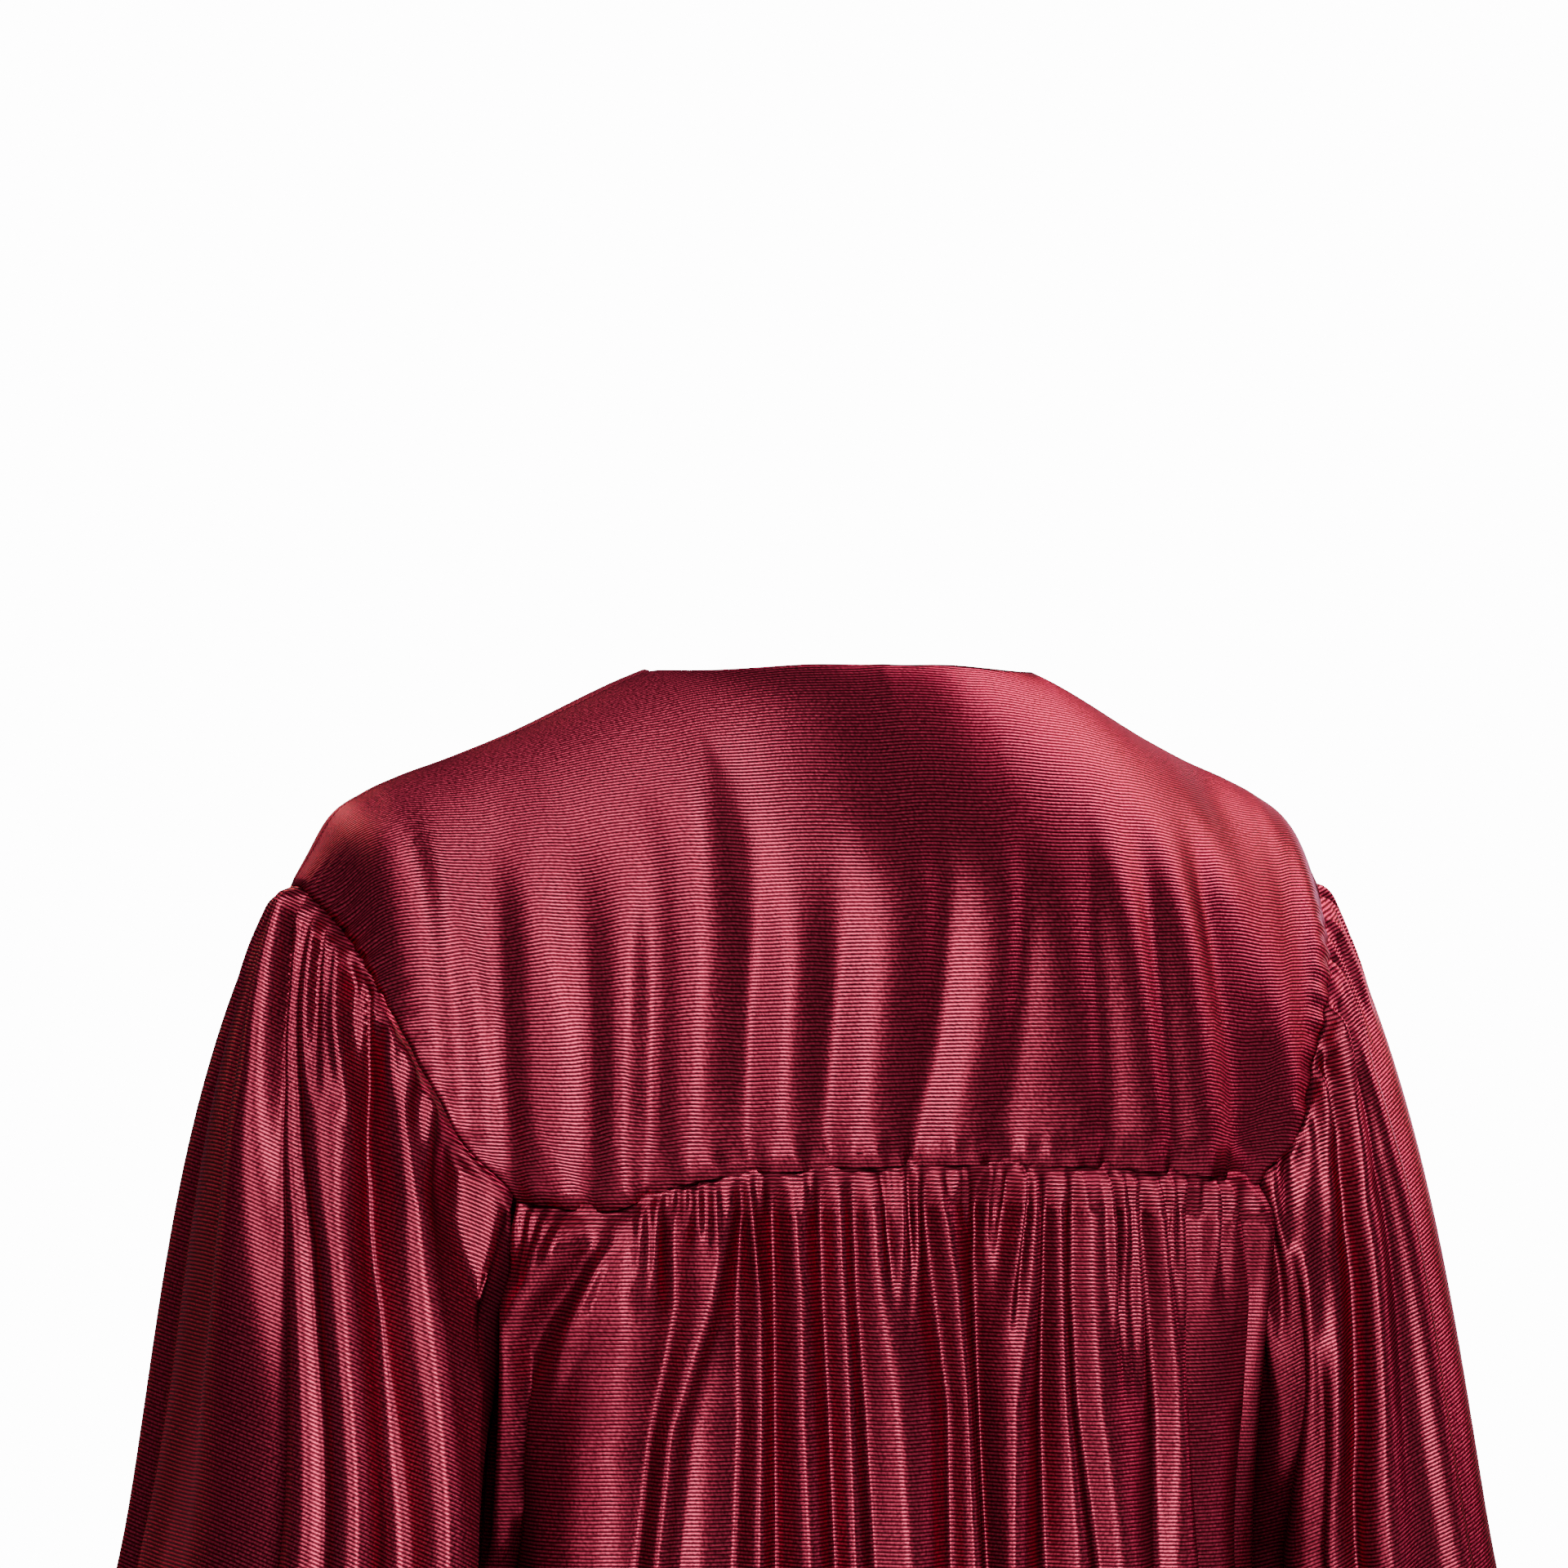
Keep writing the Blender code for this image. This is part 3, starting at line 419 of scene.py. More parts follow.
# How far below the seam each kind of crease has risen to its full height
GATHER_TOP = 0.0060
CREASE_TOP = 0.0170
WANDER_TOP = 0.0240
WANDER_FADES = (0.02, 0.04)

# Creases of the sleeves. Angles are given at six shares of the way down the sleeve cap, and hold on below.
SleeveCrease = namedtuple("SleeveCrease", "seam high upper middle low end height")
SLEEVE_CREASE_SHARES = (0.03, 0.12, 0.25, 0.45, 0.70, 0.95)
LEFT_SLEEVE_CREASES = [
    SleeveCrease(-180, -180, -180, -180, -180, -180, 0.000),
    SleeveCrease(-152, -152, -154, -155, -156, -156, 0.003),
    SleeveCrease(-132, -133, -136, -138, -138, -138, -0.006),
    SleeveCrease(-118, -118, -120, -121, -120, -118, 0.006),
    SleeveCrease(-103, -104, -105, -106, -105, -104, -0.008),
    SleeveCrease(-88, -88, -88, -90, -90, -88, 0.007),
    SleeveCrease(-74, -74, -75, -76, -76, -75, -0.005),
    SleeveCrease(-60, -61, -62, -62, -62, -60, 0.005),
    SleeveCrease(-46, -46, -47, -48, -48, -46, -0.006),
    SleeveCrease(-32, -32, -33, -34, -34, -32, 0.005),
    SleeveCrease(-14, -14, -16, -18, -20, -24, -0.003),
    SleeveCrease(4, 4, 3, 2, -4, -14, 0.002),
    SleeveCrease(10, 11, 11, 8, 1, -4, 0.000),
    SleeveCrease(17, 22, 28, 21, 10, 8, 0.008),
    SleeveCrease(27, 36, 41, 41, 36, 32, -0.008),
    SleeveCrease(34, 41, 49, 54, 53, 52, 0.004),
    SleeveCrease(40, 45, 53, 60, 61, 62, -0.003),
    SleeveCrease(46, 51, 62, 73, 76, 78, 0.006),
    SleeveCrease(73, 85, 91, 92, 90, 90, -0.011),
    SleeveCrease(94, 97, 104, 109, 102, 99, 0.009),
    SleeveCrease(112, 115, 121, 130, 134, 137, -0.008),
    SleeveCrease(140, 144, 148, 152, 156, 158, 0.003),
    SleeveCrease(180, 180, 180, 180, 180, 180, 0.000),
]
RIGHT_SLEEVE_CREASES = [
    SleeveCrease(-180, -180, -180, -180, -180, -180, 0.000),
    SleeveCrease(-150, -150, -152, -153, -154, -154, 0.003),
    SleeveCrease(-130, -131, -134, -136, -136, -136, -0.006),
    SleeveCrease(-116, -116, -118, -119, -118, -116, 0.006),
    SleeveCrease(-101, -102, -103, -104, -103, -102, -0.008),
    SleeveCrease(-86, -86, -86, -88, -88, -86, 0.007),
    SleeveCrease(-72, -72, -73, -74, -74, -73, -0.005),
    SleeveCrease(-58, -59, -60, -60, -60, -58, 0.005),
    SleeveCrease(-44, -44, -45, -46, -46, -44, -0.006),
    SleeveCrease(-30, -30, -31, -32, -32, -30, 0.005),
    SleeveCrease(-12, -12, -13, -14, -14, -12, -0.004),
    SleeveCrease(6, 6, 6, 6, 8, 8, 0.004),
    SleeveCrease(24, 24, 25, 26, 28, 28, -0.004),
    SleeveCrease(42, 42, 43, 44, 44, 44, 0.004),
    SleeveCrease(66, 68, 70, 70, 70, 68, -0.003),
    SleeveCrease(76, 79, 82, 81, 80, 78, 0.002),
    SleeveCrease(83, 88, 92, 92, 91, 89, -0.003),
    SleeveCrease(90, 96, 103, 103, 101, 102, 0.007),
    SleeveCrease(97, 105, 110, 112, 114, 120, -0.008),
    SleeveCrease(104, 110, 114, 117, 120, 127, 0.006),
    SleeveCrease(107, 113, 117, 120, 128, 134, -0.005),
    SleeveCrease(110, 116, 120, 125, 136, 144, 0.005),
    SleeveCrease(114, 119, 123, 133, 150, 158, -0.008),
    SleeveCrease(124, 128, 133, 146, 162, 168, 0.003),
    SleeveCrease(180, 180, 180, 180, 180, 180, 0.000),
]
SLEEVE_CREASES_END = (1.0, 1.6)

# Short gathers of the sleeve heads, by degrees round the armhole
HeadGather = namedtuple("HeadGather", "seam low width depth reach")
LEFT_HEAD_GATHERS = [
    HeadGather(-110.0, -111.0, 4.0, 0.0026, 0.25),
    HeadGather(-96.0, -97.0, 4.0, 0.0026, 0.25),
    HeadGather(-81.0, -81.0, 4.0, 0.0024, 0.20),
    HeadGather(-67.0, -68.0, 4.0, 0.0026, 0.25),
    HeadGather(-53.0, -53.0, 4.0, 0.0024, 0.20),
    HeadGather(-39.0, -39.0, 4.0, 0.0024, 0.20),
    HeadGather(-22.0, -22.0, 4.0, 0.0024, 0.20),
    HeadGather(-4.0, -4.0, 4.0, 0.0022, 0.20),
    HeadGather(30.5, 34.0, 2.6, 0.0022, 0.10),
    HeadGather(49.5, 68.0, 3.6, -0.0050, 0.26),
    HeadGather(55.0, 66.0, 3.0, 0.0026, 0.14),
    HeadGather(60.0, 80.0, 4.0, 0.0050, 0.24),
    HeadGather(68.0, 82.0, 3.0, 0.0030, 0.14),
    HeadGather(78.0, 84.0, 3.0, 0.0034, 0.10),
    HeadGather(86.0, 92.0, 3.2, 0.0030, 0.14),
    HeadGather(99.0, 100.0, 3.2, -0.0030, 0.14),
    HeadGather(103.5, 106.0, 3.4, 0.0034, 0.20),
    HeadGather(109.5, 112.0, 3.0, 0.0034, 0.14),
    HeadGather(117.0, 124.0, 4.0, 0.0036, 0.40),
]
RIGHT_HEAD_GATHERS = [
    HeadGather(-109.0, -110.0, 4.0, 0.0026, 0.25),
    HeadGather(-94.0, -95.0, 4.0, 0.0026, 0.25),
    HeadGather(-79.0, -79.0, 4.0, 0.0024, 0.20),
    HeadGather(-65.0, -66.0, 4.0, 0.0026, 0.25),
    HeadGather(-51.0, -51.0, 4.0, 0.0024, 0.20),
    HeadGather(-37.0, -37.0, 4.0, 0.0024, 0.20),
    HeadGather(-20.0, -20.0, 4.0, 0.0024, 0.20),
    HeadGather(-3.0, -3.0, 4.0, 0.0022, 0.20),
    HeadGather(15.0, 16.0, 4.0, 0.0022, 0.20),
    HeadGather(33.0, 34.0, 4.0, 0.0024, 0.20),
    HeadGather(51.0, 52.0, 4.0, 0.0024, 0.20),
    HeadGather(61.0, 64.0, 3.4, 0.0026, 0.22),
    HeadGather(71.0, 76.0, 3.0, 0.0026, 0.18),
    HeadGather(86.5, 92.0, 2.6, 0.0026, 0.14),
    HeadGather(94.0, 98.0, 2.4, -0.0024, 0.10),
    HeadGather(100.5, 107.0, 2.6, 0.0034, 0.18),
    HeadGather(117.0, 128.0, 3.0, 0.0040, 0.34),
    HeadGather(121.0, 136.0, 3.0, -0.0040, 0.34),
    HeadGather(129.0, 142.0, 4.0, 0.0040, 0.44),
]
HEAD_TOP = 0.030

# Soft ripples that the gathers pull into the yokes, as crests and as the troughs between them. Places
# across are given at four turns, counted 0 at the shoulder ridge and 1 at the seam. Each fades in from its
# start.
Ripple = namedtuple("Ripple", "upper middle lower seam height start")
RIPPLE_TURNS = (0.62, 0.76, 0.86, 0.96)
YOKE_RIPPLES = [
    Ripple(0.232, 0.232, 0.232, 0.232, 0.0000, 0.30),
    Ripple(0.206, 0.205, 0.203, 0.200, -0.0020, 0.22),
    Ripple(0.187, 0.188, 0.187, 0.186, 0.0044, 0.18),
    Ripple(0.177, 0.176, 0.174, 0.172, 0.0008, 0.40),
    Ripple(0.170, 0.168, 0.166, 0.166, 0.0022, 0.46),
    Ripple(0.160, 0.161, 0.160, 0.158, -0.0022, 0.46),
    Ripple(0.147, 0.150, 0.152, 0.150, 0.0040, 0.42),
    Ripple(0.134, 0.132, 0.131, 0.131, -0.0036, 0.42),
    Ripple(0.112, 0.117, 0.121, 0.124, 0.0030, 0.50),
    Ripple(0.106, 0.108, 0.109, 0.110, -0.0030, 0.52),
    Ripple(0.088, 0.090, 0.093, 0.096, 0.0044, 0.36),
    Ripple(0.068, 0.069, 0.072, 0.074, -0.0024, 0.46),
    Ripple(0.050, 0.054, 0.058, 0.060, 0.0034, 0.56),
    Ripple(0.034, 0.038, 0.041, 0.044, -0.0022, 0.56),
    Ripple(0.008, 0.015, 0.021, 0.026, 0.0044, 0.44),
    Ripple(-0.010, -0.006, -0.002, 0.006, -0.0030, 0.50),
    Ripple(-0.036, -0.030, -0.022, -0.012, 0.0032, 0.46),
    Ripple(-0.043, -0.040, -0.036, -0.030, -0.0026, 0.52),
    Ripple(-0.058, -0.058, -0.060, -0.060, 0.0022, 0.52),
    Ripple(-0.074, -0.074, -0.076, -0.078, -0.0022, 0.56),
    Ripple(-0.086, -0.089, -0.092, -0.096, 0.0036, 0.50),
    Ripple(-0.102, -0.103, -0.105, -0.108, -0.0026, 0.50),
    Ripple(-0.117, -0.118, -0.119, -0.120, 0.0034, 0.46),
    Ripple(-0.132, -0.136, -0.141, -0.144, -0.0038, 0.46),
    Ripple(-0.152, -0.162, -0.170, -0.172, 0.0042, 0.36),
    Ripple(-0.186, -0.186, -0.185, -0.184, -0.0022, 0.36),
    Ripple(-0.206, -0.205, -0.202, -0.196, 0.0010, 0.40),
    Ripple(-0.232, -0.232, -0.232, -0.232, 0.0000, 0.30),
]
RIPPLE_GROWTH = 0.26
FRONT_RIPPLE_SHARE = 0.7
RIPPLE_SMOOTHING = 10
CREASE_SMOOTHING = 5
SEAM_PUCKER = 0.0008
PUCKER_PITCH = 0.0105
PUCKER_REACH = 0.016
SIDE_PUCKER_REACH = 0.014
SIDE_PUCKER_START = (0.1, 0.3)
YOKE_SIDE_LENGTH = 0.20
TURNED_EDGE = 0.0004
EDGE_ROLL = 0.0014

# Seam allowances that run on under the neighbour, and how deep each seam tucks its cloth in. The back
# panel's gathers stand proud of their seam instead, so its depth is negative.
ALLOWANCE = 0.0040
ALLOWANCE_DEPTH = 0.0018
BACK_TUCK = -0.0006
FRONT_TUCK = 0.0008
SLEEVE_TUCK = 0.0014
SHOULDER_TUCK = 0.0010

# Hems
HEM_TURN = 0.018
CUFF_TURN = 0.015
HEM_STEP = 0.0007
HEM_STEP_REACH = 0.0015
HEM_GROOVE = 0.0025
STITCH = (0.0026, 0.00050)
STITCH_PITCH = 0.0036
STITCH_INSET = 0.0030
ZIP_STITCH_INSET = 0.0060

# Rows and columns of the shells
BACK_COLUMNS = 430
FRONT_COLUMNS = 190
SLEEVE_COLUMNS = 300
YOKE_COLUMNS = 260
FRONT_YOKE_COLUMNS = 84
YOKE_ROWS = 78
PANEL_ROWS = [(0.0, 7), (0.006, 20), (0.045, 26), (0.16, 38), (0.974, 12), (1.0, 0)]
SLEEVE_ROWS = [(0.0, 7), (0.04, 18), (0.25, 30), (1.0, 30), (1.93, 10), (2.0, 0)]

# The fields of a piece's cut, seam allowances and turn-ups included: its upper and lower width and its
# length. Panels are cut 1.8 times as wide as the yoke seam that gathers them, and both sleeves from one
# pattern.
Cut = namedtuple("Cut", "top bottom length")

# Ribbed satin, and how far its ribs turn from level on the sleeves, in radians
RIB_PITCH = 0.00148
RIB_SLOPE = 0.45

# Camera, floor and lights
YAW = 20.0
AIM = (0.0200, -0.0073, -0.0452)
CAMERA_DISTANCE = 3.0
LENS = 171.6
SENSOR = 36.0
FLOOR_HEIGHT = -1.400
FLOOR_RADIUS = 3.2


def follow(table, column, at):
    """Read a table column as a smooth curve over the table's first column."""
    places = np.array([row[0] for row in table], float)
    values = np.array([getattr(row, column) for row in table], float)
    if places[0] > places[-1]:
        places, values = places[::-1], values[::-1]
    slopes = np.gradient(values, places)
    at = np.clip(at, places[0], places[-1])
    i = np.clip(np.searchsorted(places, at, side="right") - 1, 0, len(places) - 2)
    gap = places[i + 1] - places[i]
    return hermite((at - places[i]) / gap, values[i], gap * slopes[i], values[i + 1], gap * slopes[i + 1])


def hermite(t, start, start_slope, end, end_slope):
    """A cubic from start to end with the slopes given at its ends."""
    rise = t * t * (3.0 - 2.0 * t)
    return ((1.0 - rise) * start + rise * end
            + t * (1.0 - t) ** 2 * start_slope - t * t * (1.0 - t) * end_slope)


def ease(value, start, end):
    """0 before start, 1 after end, and smooth between."""
    t = np.clip((value - start) / (end - start), 0.0, 1.0)
    return t * t * (3.0 - 2.0 * t)


def rounded(value, roundness):
    """A sine or cosine bent from a circle's towards a box's."""
    return np.sign(value) * np.abs(value) ** (2.0 / roundness)


def bump(distance, width):
    """A soft ridge, 1 at its crest and 0 beyond its half width."""
    return np.cos(np.clip(distance / width, -1.0, 1.0) * math.pi / 2) ** 2


def side_name(front):
    return "front" if front else "back"


# The form of the solids

def seam_height(across, front):
    """The yoke seam falls towards the armholes, and dips once at the left of the back."""
    drop = SEAM_CORNER_DROP * (across / CORNER) ** 2
    if front:
        return FRONT_SEAM - drop
    dip = SEAM_DIP * np.exp(-((across - SEAM_DIP_PLACE) / SEAM_DIP_WIDTH) ** 2)
    return BACK_SEAM - drop - dip


def yoke_point(across, turn, front):
    """The yoke, from the shoulder ridge at turn 0 to its seam at a quarter turn."""
    out = np.abs(across)
    low = seam_height(across, front)
    ridge = follow(SHOULDER, "ridge", out)
    ridge_y = follow(SHOULDER, "ridge_y", out)
    reach = follow(SHOULDER, side_name(front), out)
    y = ridge_y + (reach - ridge_y) * rounded(np.sin(turn), YOKE_ROUNDNESS)
    z = low + (ridge - low) * rounded(np.cos(turn), YOKE_ROUNDNESS)
    return across, y, z


def armhole_across(turn):
    return follow(ARMHOLE, "across", turn / (math.pi / 2))


def ring_turns():
    """Shares of the way round a quarter of the body, for evenly spaced corner angles."""
    angles = np.linspace(0.0, math.pi / 2, 400)
    x = BODY[0].half_width * rounded(np.sin(angles), BODY_ROUNDNESS)
    y = (BODY[0].back - BODY_MIDDLE) * rounded(np.cos(angles), BODY_ROUNDNESS)
    lengths = np.concatenate([[0.0], np.cumsum(np.hypot(np.diff(x), np.diff(y)))])
    return lengths / lengths[-1], angles


RING_SHARES, RING_ANGLES = ring_turns()


def body_ring(share, z, front):
    """A point of the body's section at height z, and the outward direction there."""
    angle = np.interp(share, RING_SHARES, RING_ANGLES)
    half_width = follow(BODY, "half_width", z)
    depth = follow(BODY, side_name(front), z) - BODY_MIDDLE
    x = rounded(np.sin(angle), BODY_ROUNDNESS)
    y = rounded(np.cos(angle), BODY_ROUNDNESS)
    out_x = x ** (BODY_ROUNDNESS - 1.0) / half_width
    out_y = y ** (BODY_ROUNDNESS - 1.0) / depth
    length = np.hypot(out_x, out_y)
    return half_width * x, BODY_MIDDLE + depth * y, out_x / length, out_y / length


def panel_top(share, side, front):
    """The upper edge of a body panel: the yoke seam, then the lower armhole down to the underarm."""
    across = side * CORNER * np.clip(share / CORNER_SHARE, 0.0, 1.0)
    reach = follow(SHOULDER, side_name(front), np.abs(across))
    seam = seam_height(across, front)
    bend_x, bend_share, bend_z = LOWER_ARMHOLE_BEND
    corner = (CORNER, follow(SHOULDER, side_name(front), CORNER), seam_height(side * CORNER, front))
    middle = (bend_x, corner[1] * bend_share, bend_z)
    t = np.clip((share - CORNER_SHARE) / (1.0 - CORNER_SHARE), 0.0, 1.0)
    curve = [(1 - t) ** 2 * corner[k] + 2 * t * (1 - t) * middle[k] + t * t * UNDERARM[k] for k in range(3)]
    on_seam = share <= CORNER_SHARE
    return (np.where(on_seam, np.abs(across), curve[0]),
            np.where(on_seam, reach, curve[1]),
            np.where(on_seam, seam, curve[2]))


def fold_lift(folds, place, below_seam, z):
    """How far the folds lift a body panel's cloth outwards, and how far they push it sideways."""
    lift = np.zeros_like(z)
    push = np.zeros_like(z)
    growth = ARMHOLE_GROWTH * ease(np.abs(place), ARMHOLE_CALM, 1.0)
    grown = ease(below_seam, FOLDS_START[0], FOLDS_START[1] + growth)
    to_waist = ease(-z, -BACK_SEAM, -CAP_END)
    to_hem = np.clip((CAP_END - z) / (CAP_END - HEM), 0.0, 1.0)
    for fold in folds:
        centre = fold.seam + (fold.waist - fold.seam) * to_waist + (fold.hem - fold.waist) * to_hem
        depth = fold.depth * grown + (fold.hem_depth - fold.depth) * ease(FLARE_TOP - z, 0.0, FLARE_TOP - HEM)
        if fold.end > HEM:
            depth = depth * ease(z, fold.end, fold.end + (CAP_END - FLARE_TOP))
        shape = bump(place - centre, fold.width * (1.0 + FOLD_WIDENING * to_hem))
        lift = lift + depth * shape
        push = push + fold.lean * grown * shape
    return lift, push


def panel_form(place, down, front, folds):
    """A body panel's cloth at a place round the body, from its top edge at down 0 to the hem at 1."""
    share = np.abs(place)
    side = np.where(place < 0.0, -1.0, 1.0)
    top_x, top_y, top_z = panel_top(share, side, front)
    top_z = top_z - YOKE_SEAM_GAP
    z = top_z + (HEM - top_z) * down
    lift, push = fold_lift(folds, place, top_z - z, z)
    pushed = np.clip(share + side * push, 0.0, 1.0)
    x, y, out_x, out_y = body_ring(pushed, z, front)
    ring_x, ring_y, _, _ = body_ring(share, top_z, front)
    kept = 1.0 - ease(top_z - z, 0.0, SEAM_EASE)
    x = x + (top_x - ring_x) * kept + out_x * lift
    y = y + (top_y - ring_y) * kept + out_y * lift
    return side * x, y, z


def armhole_loop(angle, side):
    """The armhole edge: the yokes' side edges above the corners, the body panels' below."""
    around = np.abs(angle)
    front = angle < 0.0
    turn = np.clip(around / CORNER_ANGLE, 0.0, 1.0) * math.pi / 2
    across = armhole_across(turn)
    lower = np.clip((around - CORNER_ANGLE) / (180.0 - CORNER_ANGLE), 0.0, 1.0)
    share = CORNER_SHARE + (1.0 - CORNER_SHARE) * lower
    above = around <= CORNER_ANGLE
    edges = []
    for is_front in (False, True):
        upper = (across, *yoke_point(side * across, turn, is_front)[1:])
        below = panel_top(share, side, is_front)
        edges.append([np.where(above, high, low) for high, low in zip(upper, below)])
    return [np.where(front, on_front, on_back) for on_back, on_front in zip(*edges)]


def sleeve_ring(rings, angle, z):
    """A point of a sleeve's section at height z, and the outward direction there."""
    inner, outer = follow(rings, "inner", z), follow(rings, "outer", z)
    back, front = follow(rings, "back", z), follow(rings, "front", z)
    half_width, half_depth = (outer - inner) / 2, (back - front) / 2
    x = rounded(np.cos(np.radians(angle)), SLEEVE_ROUNDNESS)
    y = rounded(np.sin(np.radians(angle)), SLEEVE_ROUNDNESS)
    out_x = rounded(x, 2.0 / (SLEEVE_ROUNDNESS - 1.0)) / half_width
    out_y = rounded(y, 2.0 / (SLEEVE_ROUNDNESS - 1.0)) / half_depth
    length = np.hypot(out_x, out_y)
    return ((inner + outer) / 2 + half_width * x, (back + front) / 2 + half_depth * y,
            out_x / length, out_y / length)


def sleeve_lift(folds, angle, down):
    """How far the folds lift a sleeve's cloth outwards."""
    lift = np.zeros_like(angle)
    for fold in folds:
        centre = (fold.seam + (fold.elbow - fold.seam) * ease(down, 0.0, 1.0)
                  + (fold.cuff - fold.elbow) * np.clip(down - 1.0, 0.0, 1.0))
        grown = ease(down, *SLEEVE_FOLDS_START)
        depth = fold.depth * grown + (fold.cuff_depth - fold.depth) * ease(down, 1.0, 2.0)
        lift = lift + depth * bump(angle - centre, fold.width)
    return lift


def sleeve_form(rings, folds, angle, down, side):
    """A sleeve's cloth, from the armhole at down 0, past the cap's end at 1, to the cuff at 2."""
    hole_x, hole_y, hole_z = armhole_loop(angle, side)
    hole_x = hole_x + FOLDED_SEAM_GAP
    hole_z = hole_z - SLEEVE_SEAM_GAP
    at_end = np.full_like(angle, CAP_END)
    end_x, end_y, _, _ = sleeve_ring(rings, angle, at_end)
    next_x, next_y, _, _ = sleeve_ring(rings, angle, at_end - SOLID_CLOTH)
    drop = hole_z - CAP_END
    out, back = follow(CAP_STARTS, "out", angle), follow(CAP_STARTS, "back", angle)
    t = np.clip(down, 0.0, 1.0)
    cap_x = hermite(t, hole_x, out * drop, end_x, (next_x - end_x) / SOLID_CLOTH * drop)
    cap_y = hermite(t, hole_y, back * drop, end_y, (next_y - end_y) / SOLID_CLOTH * drop)
    cap_z = hole_z - drop * t
    arm_z = CAP_END + (CUFF - CAP_END) * np.clip(down - 1.0, 0.0, 1.0)
    arm_x, arm_y, out_x, out_y = sleeve_ring(rings, angle, arm_z)
    lift = sleeve_lift(folds, angle, down)
    below = down > 1.0
    x = np.where(below, arm_x, cap_x) + out_x * lift
    y = np.where(below, arm_y, cap_y) + out_y * lift
    return side * x, y, np.where(below, arm_z, cap_z)


def neck_turn(across):
    """Where the back neckline crosses the yoke, as a turn from the shoulder ridge."""
    half_width = NECK_SHARE * armhole_across(0.0)
    inside = np.clip(1.0 - (np.abs(across) / half_width) ** NECK_ROUNDNESS, 0.0, 1.0)
    depth = BACK_NECK_DEPTH * inside ** (1.0 / NECK_ROUNDNESS)
    ridge_y = follow(SHOULDER, "ridge_y", np.abs(across))
    reach = follow(SHOULDER, "back", np.abs(across)) - ridge_y
    swing = np.clip(depth / reach, 0.0, 1.0) ** (YOKE_ROUNDNESS / 2.0)
    return np.arcsin(swing)


def back_yoke_place(u, v):
    """Across and turn of the back yoke's cloth."""
    start = neck_turn(armhole_across(0.0) * (1.0 - 2.0 * u))
    turn = start + (math.pi / 2 - start) * v
    return armhole_across(turn) * (1.0 - 2.0 * u), turn


def back_yoke_form(u, v):
    across, turn = back_yoke_place(u, v)
    x, y, z = yoke_point(across, turn, False)
    return x, y + FOLDED_SEAM_GAP, z


def front_yoke_place(side, u, v):
    turn = v * math.pi / 2
    share = u if side > 0 else 1.0 - u
    neck = FRONT_EDGE + (NECK_SHARE * armhole_across(0.0) - FRONT_EDGE) * (1.0 - v) ** NECK_SLANT
    across = neck + (armhole_across(turn) - neck) * share
    return side * across, turn, share


def front_yoke_form(side):
    def form(u, v):
        across, turn, _ = front_yoke_place(side, u, v)
        return yoke_point(across, turn, True)
    return form


def back_form(u, v):
    x, y, z = panel_form(1.0 - 2.0 * u, v, False, BACK_FOLDS)
    return x, y + SIDE_SEAM_GAP / 2, z


def front_form(side):
    folds = [mirrored(fold, side) for fold in FRONT_FOLDS]

    def form(u, v):
        share = u if side > 0 else 1.0 - u
        x, y, z = panel_form(side * share, v, True, folds)
        edge = FRONT_EDGE * np.clip(1.0 - share / CORNER_SHARE, 0.0, 1.0)
        return x + side * edge, y - SIDE_SEAM_GAP / 2, z
    return form


def mirrored(fold, side):
    return fold._replace(seam=side * fold.seam, waist=side * fold.waist, hem=side * fold.hem,
                         lean=side * fold.lean)


# The finer relief, which lies on the form

def crest_profile(creases, stations_of, at, places, smoothing):
    """The cloth's height at places across a row: rounded at each crest and sharp in each trough."""
    columns = len(stations_of)
    rows = sorted((float(np.interp(at, stations_of, crease[:columns])), crease.height) for crease in creases)
    centres, heights = np.array(rows).T
    i = np.clip(np.searchsorted(centres, places, side="right") - 1, 0, len(rows) - 2)
    share = np.clip((places - centres[i]) / np.maximum(centres[i + 1] - centres[i], 1e-6), 0.0, 1.0)
    start, end = heights[i], heights[i + 1]
    rising = start + (end - start) * np.sin(share * math.pi / 2)
    falling = end + (start - end) * np.sin((1.0 - share) * math.pi / 2)
    profile = np.where(end >= start, rising, falling)
    for _ in range(smoothing):
        padded = np.concatenate([profile[:1], profile, profile[-1:]])
        profile = 0.25 * padded[:-2] + 0.5 * padded[1:-1] + 0.25 * padded[2:]
    return profile


def by_rows(creases, stations_of, at, places):
    """The profile of every row of a grid, where at gives each row's own station."""
    return np.stack([crest_profile(creases, stations_of, float(np.mean(row)), across, CREASE_SMOOTHING)
                     for row, across in zip(at, places)])


def from_seam(distance, growth):
    """Gathers rise steeply out of a seam, as the heads of tubes."""
    return 1.0 - (1.0 - np.clip(distance / growth, 0.0, 1.0)) ** 2


def gather_relief(gathers, place, distance, growth):
    """Short gathers, which die out at their reach."""
    relief = np.zeros_like(place)
    start = from_seam(distance, growth)
    for gather in gathers:
        t = np.clip(distance / gather.reach, 0.0, 1.0)
        centre = gather.seam + (gather.low - gather.seam) * t
        width = gather.width * (1.0 + GATHER_WIDENING * t)
        shown = 1.0 - ease(t, GATHER_HOLD, 1.0)
        relief = relief + gather.depth * start * shown * bump(place - centre, width)
    return relief


def wander_relief(wanders, place, below):
    """Creases that wander across a panel, each shown between its start and its end."""
    relief = np.zeros_like(place)
    fade_in, fade_out = WANDER_FADES
    for wander in wanders:
        centre = np.interp(below, CREASE_DEPTHS, wander[:4])
        shown = (ease(below, wander.start, wander.start + fade_in)
                 * (1.0 - ease(below, wander.end - fade_out, wander.end)))
        relief = relief + wander.height * shown * bump(place - centre, wander.width)
    return relief


